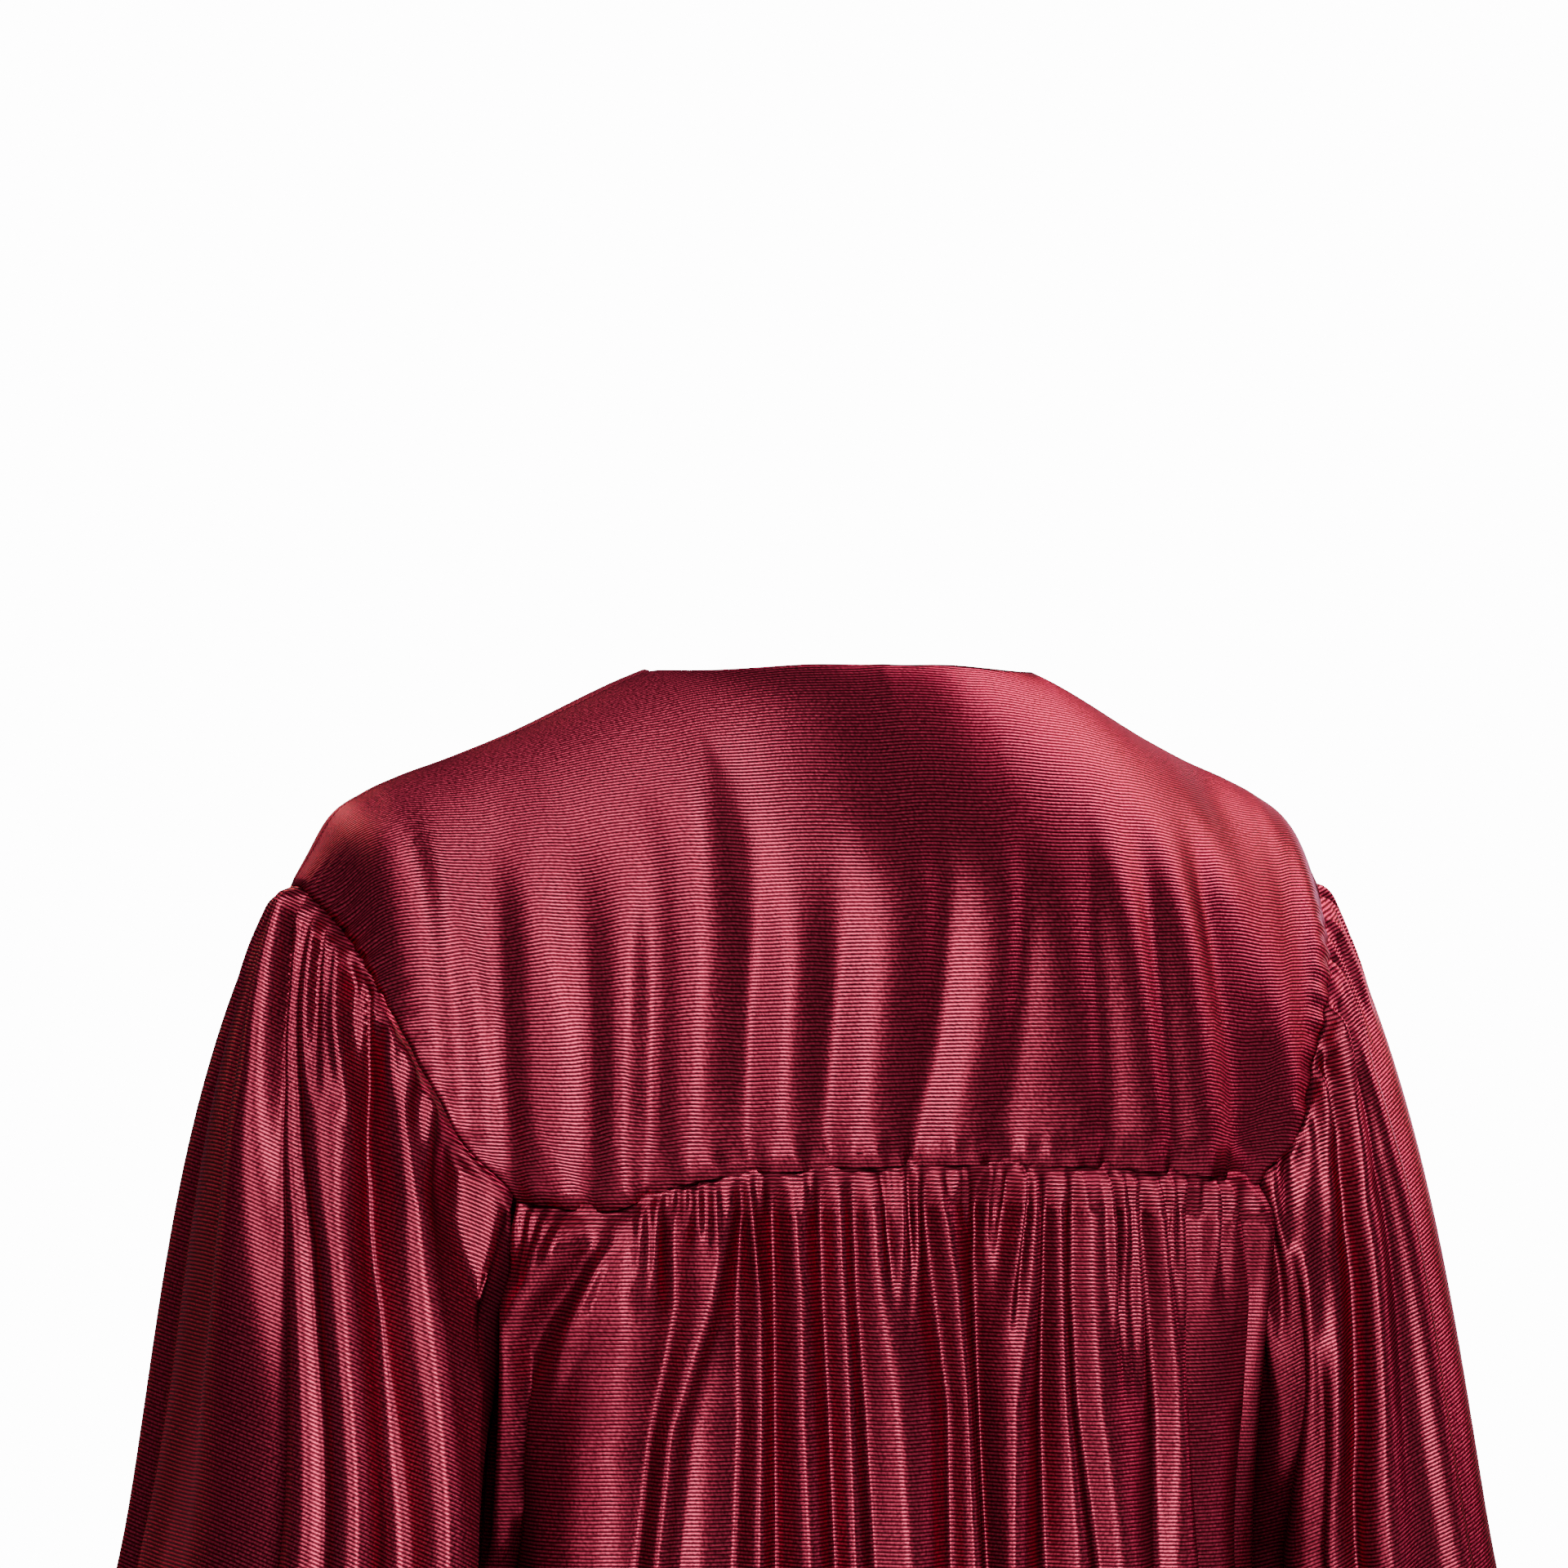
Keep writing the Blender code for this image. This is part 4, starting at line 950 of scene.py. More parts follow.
def seam_tuck(distance, depth):
    """The cloth dives under the neighbour's turned edge at a seam, or rises where the depth is negative."""
    return -depth * (1.0 - ease(distance, 0.0, EDGE_ROLL))


def hem_relief(above_edge, turn):
    """A turned hem stands nearly a cloth's thickness proud, with a groove along its upper edge."""
    step = HEM_STEP * (1.0 - ease(above_edge, turn - HEM_STEP_REACH, turn + HEM_STEP_REACH))
    return step - HEM_STEP * bump(above_edge - turn, HEM_GROOVE)


def panel_relief(creases, gathers, wanders, tuck, place, below, z):
    held = 1.0 - ease(below, *CREASES_END)
    long_ones = by_rows(creases, CREASE_DEPTHS, below, place) * from_seam(below, CREASE_TOP) * held
    wandering = wander_relief(wanders, place, below) * from_seam(below, WANDER_TOP)
    return (long_ones + gather_relief(gathers, place, below, GATHER_TOP) + wandering
            + seam_tuck(below, tuck) + hem_relief(z - HEM, HEM_TURN))


def back_relief(u, v, points):
    place = 1.0 - 2.0 * u
    below = below_panel_top(place, points[..., 2], False)
    return panel_relief(BACK_CREASES, BACK_GATHERS, BACK_WANDERS, BACK_TUCK, place, below, points[..., 2])


def front_relief(side):
    def relief(u, v, points):
        share = u if side > 0 else 1.0 - u
        below = below_panel_top(side * share, points[..., 2], True)
        return panel_relief(FRONT_CREASES, FRONT_GATHERS, [], FRONT_TUCK, share, below, points[..., 2])
    return relief


def below_panel_top(place, z, front):
    top_z = panel_top(np.abs(place), np.where(place < 0.0, -1.0, 1.0), front)[2]
    return np.maximum(top_z - YOKE_SEAM_GAP - z, 0.0)


def ripple_relief(across, turn_share):
    """Ripples of a yoke, row by row, each fading in below its start."""
    relief = []
    for row_turn, row_across in zip(turn_share, across):
        turn = float(np.mean(row_turn))
        grown = []
        for ripple in YOKE_RIPPLES:
            shown = float(ease(turn, ripple.start, ripple.start + RIPPLE_GROWTH))
            grown.append(ripple._replace(height=ripple.height * shown))
        relief.append(crest_profile(grown, RIPPLE_TURNS, turn, row_across, RIPPLE_SMOOTHING))
    return np.stack(relief)


def edge_roll(distance):
    """A turned edge rounds off into its seam."""
    return -TURNED_EDGE * (1.0 - ease(distance, 0.0, EDGE_ROLL)) ** 2


def seam_pucker(across, to_seam):
    """Small puckers that the gathers pull into a yoke's seam edge."""
    wave = np.sin(across * 2.0 * math.pi / PUCKER_PITCH)
    return SEAM_PUCKER * wave * (1.0 - ease(to_seam, 0.0, PUCKER_REACH))


def side_pucker(turn_share, to_armhole):
    """Small puckers along the back yoke's armhole edges, which leave the shoulder smooth."""
    wave = np.sin(turn_share * 2.0 * math.pi * YOKE_SIDE_LENGTH / PUCKER_PITCH)
    near_edge = 1.0 - ease(to_armhole, 0.0, SIDE_PUCKER_REACH)
    return SEAM_PUCKER * wave * near_edge * ease(turn_share, *SIDE_PUCKER_START)


def back_yoke_relief(u, v, points):
    """The back yoke's relief. The grid's first row lies on the yoke seam."""
    across, turn = back_yoke_place(u, v)
    turn_share = turn / (math.pi / 2)
    to_seam = np.maximum(points[..., 2] - points[:1, :, 2], 0.0)
    to_armhole = armhole_across(turn) - np.abs(across)
    return (ripple_relief(across, turn_share) + seam_pucker(across, to_seam)
            + side_pucker(turn_share, to_armhole) + edge_roll(to_seam) + edge_roll(to_armhole))


def front_yoke_relief(side):
    def relief(u, v, points):
        across, turn, _ = front_yoke_place(side, u, v)
        to_seam = np.abs(points[..., 2] - seam_height(across, True))
        to_armhole = armhole_across(turn) - np.abs(across)
        ripples = FRONT_RIPPLE_SHARE * ripple_relief(across, turn / (math.pi / 2))
        return ripples + seam_pucker(across, to_seam) + edge_roll(to_seam) + edge_roll(to_armhole)
    return relief


def sleeve_relief(creases, gathers, side):
    def relief(u, v, points):
        angle = side * (360.0 * u - 180.0)
        down = sleeve_down(v)
        hole = armhole_loop(angle, side)
        away = np.maximum(hole[2] - SLEEVE_SEAM_GAP - points[..., 2], 0.0)
        held = 1.0 - ease(down, *SLEEVE_CREASES_END)
        long_ones = by_rows(creases, SLEEVE_CREASE_SHARES, down, angle) * from_seam(down, HEAD_TOP) * held
        return (long_ones + gather_relief(gathers, angle, down, HEAD_TOP) + seam_tuck(away, SLEEVE_TUCK)
                + hem_relief(points[..., 2] - CUFF, CUFF_TURN))
    return relief


def sleeve_down(v):
    return 2.0 * v


# Modelling

# Where each shell's cloth lies, for the sewing that goes on it: rows run from the lower edge up
Laid = namedtuple("Laid", "points normals shares")
LAID = {}


def stations(rows):
    """Shares along a piece, from stops that each give where they are and how many rows follow."""
    shares = []
    for stop, after in zip(rows, rows[1:]):
        shares += list(np.linspace(stop[0], after[0], stop[1], endpoint=False))
    shares.append(rows[-1][0])
    return np.array(shares) / rows[-1][0]


def outward(points):
    """The cloth's outward direction at each point of its grid."""
    along = np.gradient(points, axis=1)
    up = np.gradient(points, axis=0)
    normal = np.cross(along, up)
    length = np.linalg.norm(normal, axis=2, keepdims=True)
    return normal / np.maximum(length, 1e-12)


def levelled(normals):
    flat = normals * np.array([1.0, 1.0, 0.0])
    return flat / np.maximum(np.linalg.norm(flat, axis=2, keepdims=True), 1e-12)


def run_under(flat, raised, normals, edges, tuck):
    """Carry the cloth on under its neighbour at the edges named, as a seam allowance does."""
    depth = tuck + ALLOWANCE_DEPTH
    rows = {"top": (-1, -2, -3)}
    columns = {"start": (0, 1, 2), "end": (-1, -2, -3)}
    for edge in edges:
        if edge in rows:
            last, edge_row, before = rows[edge]
            on = flat[edge_row] - flat[before]
            on = on / np.linalg.norm(on, axis=1, keepdims=True)
            raised[last] = flat[edge_row] + on * ALLOWANCE - normals[edge_row] * depth
        else:
            last, edge_column, before = columns[edge]
            on = flat[:, edge_column] - flat[:, before]
            on = on / np.linalg.norm(on, axis=1, keepdims=True)
            raised[:, last] = flat[:, edge_column] + on * ALLOWANCE - normals[:, edge_column] * depth
    return raised


def cloth_shell(name, columns, shares, form, relief, down_of, material, closed=False,
                under=(), tuck=0.0, level=False):
    """A thin wall of cloth on a grid: its form, then its relief along its own outward direction."""
    bpy.ops.mesh.primitive_grid_add(x_subdivisions=columns, y_subdivisions=len(shares) - 1, size=1.0)
    obj = named(bpy.context.object, name, material)
    count = len(obj.data.vertices)
    corners = np.empty(3 * count)
    obj.data.vertices.foreach_get("co", corners)
    shape = (len(shares), columns + 1)
    u = (corners[0::3] + 0.5).reshape(shape)
    v = np.interp(0.5 - corners[1::3], np.linspace(0.0, 1.0, len(shares)), shares).reshape(shape)
    if "top" in under:
        v[-2] = v[-1]
    points = np.stack(form(u, v), axis=2)
    normals = outward(points)
    if level:
        normals = levelled(normals)
    raised = points + normals * relief(u, v, points)[..., None]
    points = run_under(points, raised, normals, under, tuck)
    obj.data.vertices.foreach_set("co", points.reshape(-1))
    lay_flat(obj, points, down_of(points))
    if closed:
        weld = obj.modifiers.new("Underarm seam", "WELD")
        weld.merge_threshold = WELD_DISTANCE
    thick = obj.modifiers.new("Cloth", "SOLIDIFY")
    thick.thickness = CLOTH
    thick.offset = -1.0
    obj.data.shade_smooth()
    LAID[name] = Laid(points, normals, shares)
    return obj


def seam_line(name, down):
    """A line across a shell at one share of the way down it, with the cloth's outward direction."""
    laid = LAID[name]
    row = np.interp(down, laid.shares, np.arange(len(laid.shares)))
    row = len(laid.shares) - 1 - row
    low = int(row)
    share = row - low
    return (laid.points[low] * (1.0 - share) + laid.points[low + 1] * share,
            laid.normals[low] * (1.0 - share) + laid.normals[low + 1] * share)


def edge_line(name, column):
    """A line down a shell, one column in from its edge."""
    laid = LAID[name]
    return laid.points[:-2, column], laid.normals[:-2, column]


def stitches_along(line, normals):
    """Evenly spaced places along a line: middle, direction and outward direction of each stitch."""
    steps = np.linalg.norm(np.diff(line, axis=0), axis=1)
    along = np.concatenate([[0.0], np.cumsum(steps)])
    places = []
    for at in np.arange(STITCH_PITCH, along[-1] - STITCH_PITCH, STITCH_PITCH):
        ends = [np.array([np.interp(at + step, along, line[:, axis]) for axis in range(3)])
                for step in (-STITCH[0] / 2, STITCH[0] / 2)]
        out = np.array([np.interp(at, along, normals[:, axis]) for axis in range(3)])
        places.append(((ends[0] + ends[1]) / 2, ends[1] - ends[0], out))
    return places


def copies(model, places, name, material):
    """One mesh of many copies of a small model, each laid along its own direction."""
    count = len(model.data.vertices)
    corners = np.empty(3 * count)
    model.data.vertices.foreach_get("co", corners)
    corners = corners.reshape(-1, 3)
    faces = [tuple(face.vertices) for face in model.data.polygons]
    points, all_faces = [], []
    for middle, along, out in places:
        x_axis = along / np.linalg.norm(along)
        y_axis = np.cross(out, x_axis)
        y_axis = y_axis / np.linalg.norm(y_axis)
        frame = np.stack([x_axis, y_axis, np.cross(x_axis, y_axis)])
        start = len(points) * count
        points.append(corners @ frame + middle)
        all_faces += [tuple(corner + start for corner in face) for face in faces]
    mesh = bpy.data.meshes.new(name)
    mesh.from_pydata(np.concatenate(points).tolist(), [], all_faces)
    mesh.materials.append(material)
    mesh.shade_smooth()
    obj = bpy.data.objects.new(name, mesh)
    bpy.context.collection.objects.link(obj)
    bpy.data.objects.remove(model)
    return obj


def stitch_model():
    """One stitch: a short bead of thread along X, thinner at its ends."""
    bpy.ops.mesh.primitive_uv_sphere_add(segments=6, ring_count=4, radius=1.0,
                                         rotation=(0.0, math.pi / 2, 0.0))
    bpy.ops.object.transform_apply(rotation=True)
    stitch = bpy.context.object
    stitch.scale = (STITCH[0] / 2, STITCH[1] / 2, STITCH[1] / 2)
    bpy.ops.object.transform_apply(scale=True)
    return stitch


def make_sewing(thread):
    """Rows of stitches on the hem, the cuffs and beside the zip."""
    panels = ("back_panel_satin", "front_panel_left_satin", "front_panel_right_satin")
    hem_down = 1.0 - (HEM_TURN - STITCH_INSET) / (BACK_SEAM - HEM)
    hem = [place for name in panels for place in stitches_along(*seam_line(name, hem_down))]
    cuff_down = 1.0 - (CUFF_TURN - STITCH_INSET) / (2.0 * (CAP_END - CUFF))
    rows = {"hem_stitching": hem}
    for word in ("left", "right"):
        rows["cuff_stitching_" + word] = stitches_along(*seam_line("sleeve_%s_satin" % word, cuff_down))
    beside = []
    for word, first in (("left", 0), ("right", -1)):
        laid = LAID["front_panel_%s_satin" % word]
        inward = 1 if first == 0 else -1
        across = np.abs(laid.points[-3, :, 0] - laid.points[-3, first, 0])
        column = first + inward * int(np.argmin(np.abs(across[::inward] - ZIP_STITCH_INSET)))
        beside += stitches_along(*edge_line("front_panel_%s_satin" % word, column))
    rows["zip_stitching"] = beside
    for name, places in rows.items():
        piece = copies(stitch_model(), places, name, thread)
        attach(piece, "gown")


def front_edge_y(z):
    """Where the outside of the front panels lies at the centre front."""
    top_x, top_y, top_z = panel_top(np.zeros_like(z), 1.0, True)
    kept = 1.0 - ease(top_z - YOKE_SEAM_GAP - z, 0.0, SEAM_EASE)
    at_top = body_ring(np.zeros_like(z), top_z - YOKE_SEAM_GAP, True)[1]
    return body_ring(np.zeros_like(z), z, True)[1] + (top_y - at_top) * kept


def small_block(size, middle, bevel, segments):
    """A small block with rounded edges."""
    bpy.ops.mesh.primitive_cube_add(size=1.0, location=middle)
    block = bpy.context.object
    block.scale = size
    bpy.ops.object.transform_apply(location=True, scale=True)
    rounding = block.modifiers.new("Rounding", "BEVEL")
    rounding.width = bevel
    rounding.segments = segments
    bpy.ops.object.modifier_apply(modifier=rounding.name)
    return block


def join_to(main, others):
    """Unite small pieces into one closed body."""
    for other in others:
        union = main.modifiers.new("Union", "BOOLEAN")
        union.operation = "UNION"
        union.object = other
        bpy.context.view_layer.objects.active = main
        bpy.ops.object.modifier_apply(modifier=union.name)
        bpy.data.objects.remove(other)
    return main


def make_teeth(nylon):
    """Two rows of moulded teeth that mesh down the middle of the tape."""
    length = (FRONT_SEAM - HEM) * ZIP_SHARE
    places = []
    for row, side in enumerate((1, -1)):
        top = TEETH_TOP - row * TOOTH_PITCH / 2
        for z in np.arange(top, FRONT_SEAM - length + TOOTH_PITCH, -TOOTH_PITCH):
            y = float(front_edge_y(np.array([z]))[0]) + TAPE_TO_EDGE - TOOTH[1] / 2
            places.append((np.array([side * TOOTH_REACH, y, z]), np.array([side * 1.0, 0.0, 0.0]),
                           np.array([0.0, -1.0, 0.0])))
    tooth = small_block((TOOTH[0], TOOTH[2], TOOTH[1]), (0.0, 0.0, 0.0), TOOTH_BEVEL, 1)
    teeth = copies(tooth, places, "zip_teeth", nylon)
    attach(teeth, "gown")


def make_slider(enamel, pin):
    """The slider, with a rounded body that narrows downwards and two ears for the pull tab."""
    low, high = [Vector(corner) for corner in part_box("zip_slider")]
    front = pin.y + BARREL_RADIUS
    height = high.z - low.z
    bpy.ops.mesh.primitive_cube_add(size=1.0, location=(0.0, (front + high.y) / 2, (low.z + high.z) / 2))
    slider = bpy.context.object
    slider.scale = (SLIDER_WIDTH, high.y - front, height)
    bpy.ops.object.transform_apply(location=True, scale=True)
    for corner in slider.data.vertices:
        if corner.co.z < low.z + height / 2:
            corner.co.x *= SLIDER_NARROWING
    rounding = slider.modifiers.new("Rounding", "BEVEL")
    rounding.width = SLIDER_BEVEL
    rounding.segments = 3
    bpy.ops.object.modifier_apply(modifier=rounding.name)
    ears = []
    for side in (1, -1):
        middle = (side * (SLIDER_WIDTH - EAR[0]) / 2, (low.y + front + SLIDER_BEVEL) / 2, pin.z)
        ears.append(small_block((EAR[0], front + SLIDER_BEVEL - low.y, EAR[1]), middle, BARREL_RADIUS / 2, 3))
    join_to(slider, ears)
    finish_metal(slider, "zip_slider_enamel", "zip_slider", "gown", enamel)


def make_pull_tab(enamel, pin):
    """The pull tab: a rounded plate with a shallow inset on both faces, hung from its barrel."""
    width, thick, length = PULL
    tab = small_block((width, thick, length), (0.0, pin.y, pin.z - PULL_NECK - length / 2), PULL_BEVEL, 3)
    bpy.ops.object.mode_set(mode="EDIT")
    bpy.ops.mesh.select_all(action="DESELECT")
    bpy.ops.object.mode_set(mode="OBJECT")
    for face in tab.data.polygons:
        face.select = abs(face.normal.y) > 0.99 and face.area > width * length / 3
    bpy.ops.object.mode_set(mode="EDIT")
    bpy.ops.mesh.select_mode(type="FACE")
    bpy.ops.mesh.inset(thickness=PULL_INSET[0], depth=-PULL_INSET[1], use_individual=True)
    bpy.ops.object.mode_set(mode="OBJECT")
    barrel = SLIDER_WIDTH - 2.0 * EAR[0] - 2.0 * EAR_GAP
    bpy.ops.mesh.primitive_cylinder_add(vertices=20, radius=BARREL_RADIUS, depth=barrel,
                                        location=pin, rotation=(0.0, math.pi / 2, 0.0))
    bpy.ops.object.transform_apply(location=True, rotation=True)
    roll = bpy.context.object
    drop = PULL_NECK + PULL_BEVEL
    neck = small_block((barrel, thick, drop), (0.0, pin.y, pin.z - drop / 2), PULL_BEVEL / 3, 1)
    join_to(tab, [neck, roll])
    finish_metal(tab, "zip_pull_enamel", "zip_pull", "pull_tab", enamel)


def finish_metal(piece, name, solid, body, enamel):
    named(piece, name, enamel)
    piece.data.shade_smooth()
    piece.data.set_sharp_from_angle(angle=math.radians(SHARP_ANGLE))
    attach(piece, body)
    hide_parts(solid)


def lay_flat(obj, points, down):
    """The piece's own map, in metres: along the cloth first, then across it."""
    steps = np.linalg.norm(np.diff(points, axis=1), axis=2)
    across = np.concatenate([np.zeros((len(points), 1)), np.cumsum(steps, axis=1)], axis=1)
    flat = np.stack([down, across], axis=2).reshape(-1, 2)
    loops = np.empty(len(obj.data.loops), int)
    obj.data.loops.foreach_get("vertex_index", loops)
    obj.data.uv_layers[0].name = "cloth"
    obj.data.uv_layers["cloth"].data.foreach_set("uv", flat[loops].reshape(-1))


def named(obj, name, material):
    obj.name = name
    obj.data.name = name
    obj.data.materials.clear()
    obj.data.materials.append(material)
    return obj


def from_top(points):
    """On the body the ribs run level."""
    return -points[..., 2]


def over_shoulder(points):
    """On the yoke the ribs follow the cloth up over the shoulder."""
    steps = np.linalg.norm(np.diff(points[:, :, 1:], axis=0), axis=2)
    down = np.concatenate([np.zeros((1, points.shape[1])), np.cumsum(steps, axis=0)], axis=0)
    return -points[:1, :, 2] - down


def along_arm(side, slope):
    """On a sleeve the ribs lie square to the arm."""
    def down(points):
        return -points[..., 2] * math.cos(slope) + side * points[..., 0] * math.sin(slope)
    return down


# Materials

def node(tree, kind, **values):
    made = tree.nodes.new(kind)
    for key, value in values.items():
        setattr(made, key, value)
    return made


def math_node(tree, operation, first, second=None, clamp=False):
    made = node(tree, "ShaderNodeMath", operation=operation, use_clamp=clamp)
    for socket, value in ((0, first), (1, second)):
        if value is None:
            continue
        if isinstance(value, (int, float)):
            made.inputs[socket].default_value = value
        else:
            tree.links.new(value, made.inputs[socket])
    return made.outputs[0]


def ribbed_cloth_group():
    """Fine ribs across the cloth: their mask, which the satin uses to paint shade into the grooves between
    the ribs, the speckle of the yarns, and the height of both.
    """
    group = bpy.data.node_groups.new("ribbed_cloth", "ShaderNodeTree")
    for name, start in (("Pitch", RIB_PITCH), ("Waver", 0.00025), ("Speckle", 0.45)):
        socket = group.interface.new_socket(name=name, in_out="INPUT", socket_type="NodeSocketFloat")
        socket.default_value = start
    for name in ("Rib shade", "Yarn", "Height", "Patch"):
        group.interface.new_socket(name=name, in_out="OUTPUT", socket_type="NodeSocketFloat")
    inside = node(group, "NodeGroupInput").outputs
    out = node(group, "NodeGroupOutput").inputs
    uv = node(group, "ShaderNodeUVMap", uv_map="cloth").outputs[0]
    split = node(group, "ShaderNodeSeparateXYZ")
    group.links.new(uv, split.inputs[0])
    coarse = node(group, "ShaderNodeTexNoise")
    coarse.inputs["Scale"].default_value = 60.0
    coarse.inputs["Detail"].default_value = 2.0
    group.links.new(uv, coarse.inputs["Vector"])
    centred = math_node(group, "SUBTRACT", coarse.outputs[0], 0.5)
    waver = math_node(group, "MULTIPLY", centred, inside["Waver"])
    turns = math_node(group, "DIVIDE", math_node(group, "ADD", split.outputs[0], waver), inside["Pitch"])
    wave = math_node(group, "SINE", math_node(group, "MULTIPLY", turns, 2.0 * math.pi))
    rib = math_node(group, "MULTIPLY_ADD", wave, 0.5)
    rib.node.inputs[2].default_value = 0.5
    stretch = node(group, "ShaderNodeMapping")
    stretch.inputs["Scale"].default_value = (700.0, 900.0, 1.0)
    group.links.new(uv, stretch.inputs["Vector"])
    yarn = node(group, "ShaderNodeTexNoise")
    yarn.inputs["Scale"].default_value = 1.0
    yarn.inputs["Detail"].default_value = 1.0
    group.links.new(stretch.outputs[0], yarn.inputs["Vector"])
    patch = node(group, "ShaderNodeTexNoise")
    patch.inputs["Scale"].default_value = 9.0
    patch.inputs["Detail"].default_value = 3.0
    group.links.new(uv, patch.inputs["Vector"])
    speckle = math_node(group, "MULTIPLY", yarn.outputs[0], inside["Speckle"])
    height = math_node(group, "ADD", rib, speckle)
    results = {"Rib shade": rib, "Yarn": yarn.outputs[0], "Height": height, "Patch": patch.outputs[0]}
    for name, value in results.items():
        group.links.new(value, out[name])
    return group


def mix_colour(tree, share, first, second, blend="MIX"):
    made = node(tree, "ShaderNodeMix", data_type="RGBA", blend_type=blend)
    for socket, value in ((made.inputs[0], share), (made.inputs[6], first), (made.inputs[7], second)):
        if isinstance(value, (float, tuple)):
            socket.default_value = value
        else:
            tree.links.new(value, socket)
    return made.outputs[2]


def map_range(tree, value, low, high, to_low, to_high):
    made = node(tree, "ShaderNodeMapRange")
    tree.links.new(value, made.inputs["Value"])
    for name, number in (("From Min", low), ("From Max", high), ("To Min", to_low), ("To Max", to_high)):
        made.inputs[name].default_value = number
    return made.outputs[0]


def satin_material(group):
    """Maroon satin: tinted gloss that spreads along the cloth, across its fine ribs, with painted shade
    darkening the grooves between them.
    """
    material, tree, shader = new_material("maroon_satin")
    cloth = node(tree, "ShaderNodeGroup", node_tree=group)
    # Painted shade: the rib mask mixes the maroon towards a near-black groove colour between the ribs.
    crest, groove_shade = (0.355, 0.027, 0.062, 1.0), (0.042, 0.004, 0.007, 1.0)
    rib = map_range(tree, cloth.outputs["Rib shade"], 0.15, 0.85, 0.0, 1.0)
    colour = mix_colour(tree, rib, groove_shade, crest)
    patchy = map_range(tree, cloth.outputs["Patch"], 0.3, 0.7, 0.84, 1.0)
    speckled = map_range(tree, cloth.outputs["Yarn"], 0.3, 0.7, 0.45, 1.25)
    shade = math_node(tree, "MULTIPLY", patchy, speckled)
    grey = node(tree, "ShaderNodeCombineXYZ")
    for axis in range(3):
        tree.links.new(shade, grey.inputs[axis])
    colour = mix_colour(tree, 1.0, colour, grey.outputs[0], "MULTIPLY")
    tree.links.new(colour, shader.inputs["Base Color"])
    rough = map_range(tree, cloth.outputs["Yarn"], 0.2, 0.8, 0.31, 0.45)
    tree.links.new(rough, shader.inputs["Roughness"])
    shader.inputs["Metallic"].default_value = 0.85
    shader.inputs["Anisotropic"].default_value = 0.80
    shader.inputs["Specular IOR Level"].default_value = 0.10
    shader.inputs["Specular Tint"].default_value = (0.42, 0.13, 0.29, 1.0)
    tangent = node(tree, "ShaderNodeTangent", direction_type="UV_MAP", uv_map="cloth")
    tree.links.new(tangent.outputs[0], shader.inputs["Tangent"])
    relief = node(tree, "ShaderNodeBump")
    relief.inputs["Strength"].default_value = 0.55
    relief.inputs["Distance"].default_value = 0.00022
    tree.links.new(cloth.outputs["Height"], relief.inputs["Height"])
    tree.links.new(relief.outputs[0], shader.inputs["Normal"])
    return material


def new_material(name):
    material = bpy.data.materials.new(name)
    material.use_nodes = True
    return material, material.node_tree, material.node_tree.nodes["Principled BSDF"]


def tape_material():
    """Woven zip tape: a close herringbone of matt yarns."""
    material, tree, shader = new_material("zip_tape_weave")
    place = node(tree, "ShaderNodeTexCoord").outputs["Object"]
    weave = node(tree, "ShaderNodeTexWave", wave_type="BANDS", bands_direction="DIAGONAL")
    weave.inputs["Scale"].default_value = 420.0
    tree.links.new(place, weave.inputs["Vector"])
    colour = mix_colour(tree, weave.outputs[1], (0.050, 0.004, 0.009, 1.0), (0.120, 0.010, 0.022, 1.0))
    tree.links.new(colour, shader.inputs["Base Color"])
    shader.inputs["Roughness"].default_value = 0.8
    relief = node(tree, "ShaderNodeBump")
    relief.inputs["Strength"].default_value = 0.5
    relief.inputs["Distance"].default_value = 0.0002
    tree.links.new(weave.outputs[1], relief.inputs["Height"])
    tree.links.new(relief.outputs[0], shader.inputs["Normal"])
    return material


def enamel_material():
    """Painted zip metal, worn a little brighter in spots."""
    material, tree, shader = new_material("zip_enamel")
    place = node(tree, "ShaderNodeTexCoord").outputs["Object"]
    spots = node(tree, "ShaderNodeTexNoise")
    spots.inputs["Scale"].default_value = 700.0
    tree.links.new(place, spots.inputs["Vector"])
    worn = map_range(tree, spots.outputs[0], 0.55, 0.75, 0.0, 0.5)
    colour = mix_colour(tree, worn, (0.240, 0.020, 0.040, 1.0), (0.520, 0.170, 0.190, 1.0))
    tree.links.new(colour, shader.inputs["Base Color"])
    tree.links.new(map_range(tree, spots.outputs[0], 0.3, 0.7, 0.28, 0.42), shader.inputs["Roughness"])
    shader.inputs["Metallic"].default_value = 0.6
    return material


def teeth_material():
    """Dyed nylon zip teeth."""
    material, tree, shader = new_material("zip_nylon")
    place = node(tree, "ShaderNodeTexCoord").outputs["Object"]
    grain = node(tree, "ShaderNodeTexNoise")
    grain.inputs["Scale"].default_value = 900.0
    tree.links.new(place, grain.inputs["Vector"])
    colour = mix_colour(tree, grain.outputs[0], (0.130, 0.010, 0.022, 1.0), (0.230, 0.022, 0.045, 1.0))
    tree.links.new(colour, shader.inputs["Base Color"])
    shader.inputs["Roughness"].default_value = 0.42
    return material


def thread_material():
    """Twisted sewing thread."""
    material, tree, shader = new_material("maroon_thread")
    place = node(tree, "ShaderNodeTexCoord").outputs["Object"]
    twist = node(tree, "ShaderNodeTexWave", wave_type="BANDS", bands_direction="DIAGONAL")
    twist.inputs["Scale"].default_value = 900.0
    tree.links.new(place, twist.inputs["Vector"])
    colour = mix_colour(tree, twist.outputs[1], (0.090, 0.006, 0.014, 1.0), (0.300, 0.030, 0.060, 1.0))
    tree.links.new(colour, shader.inputs["Base Color"])
    shader.inputs["Roughness"].default_value = 0.55
    return material


# Stage

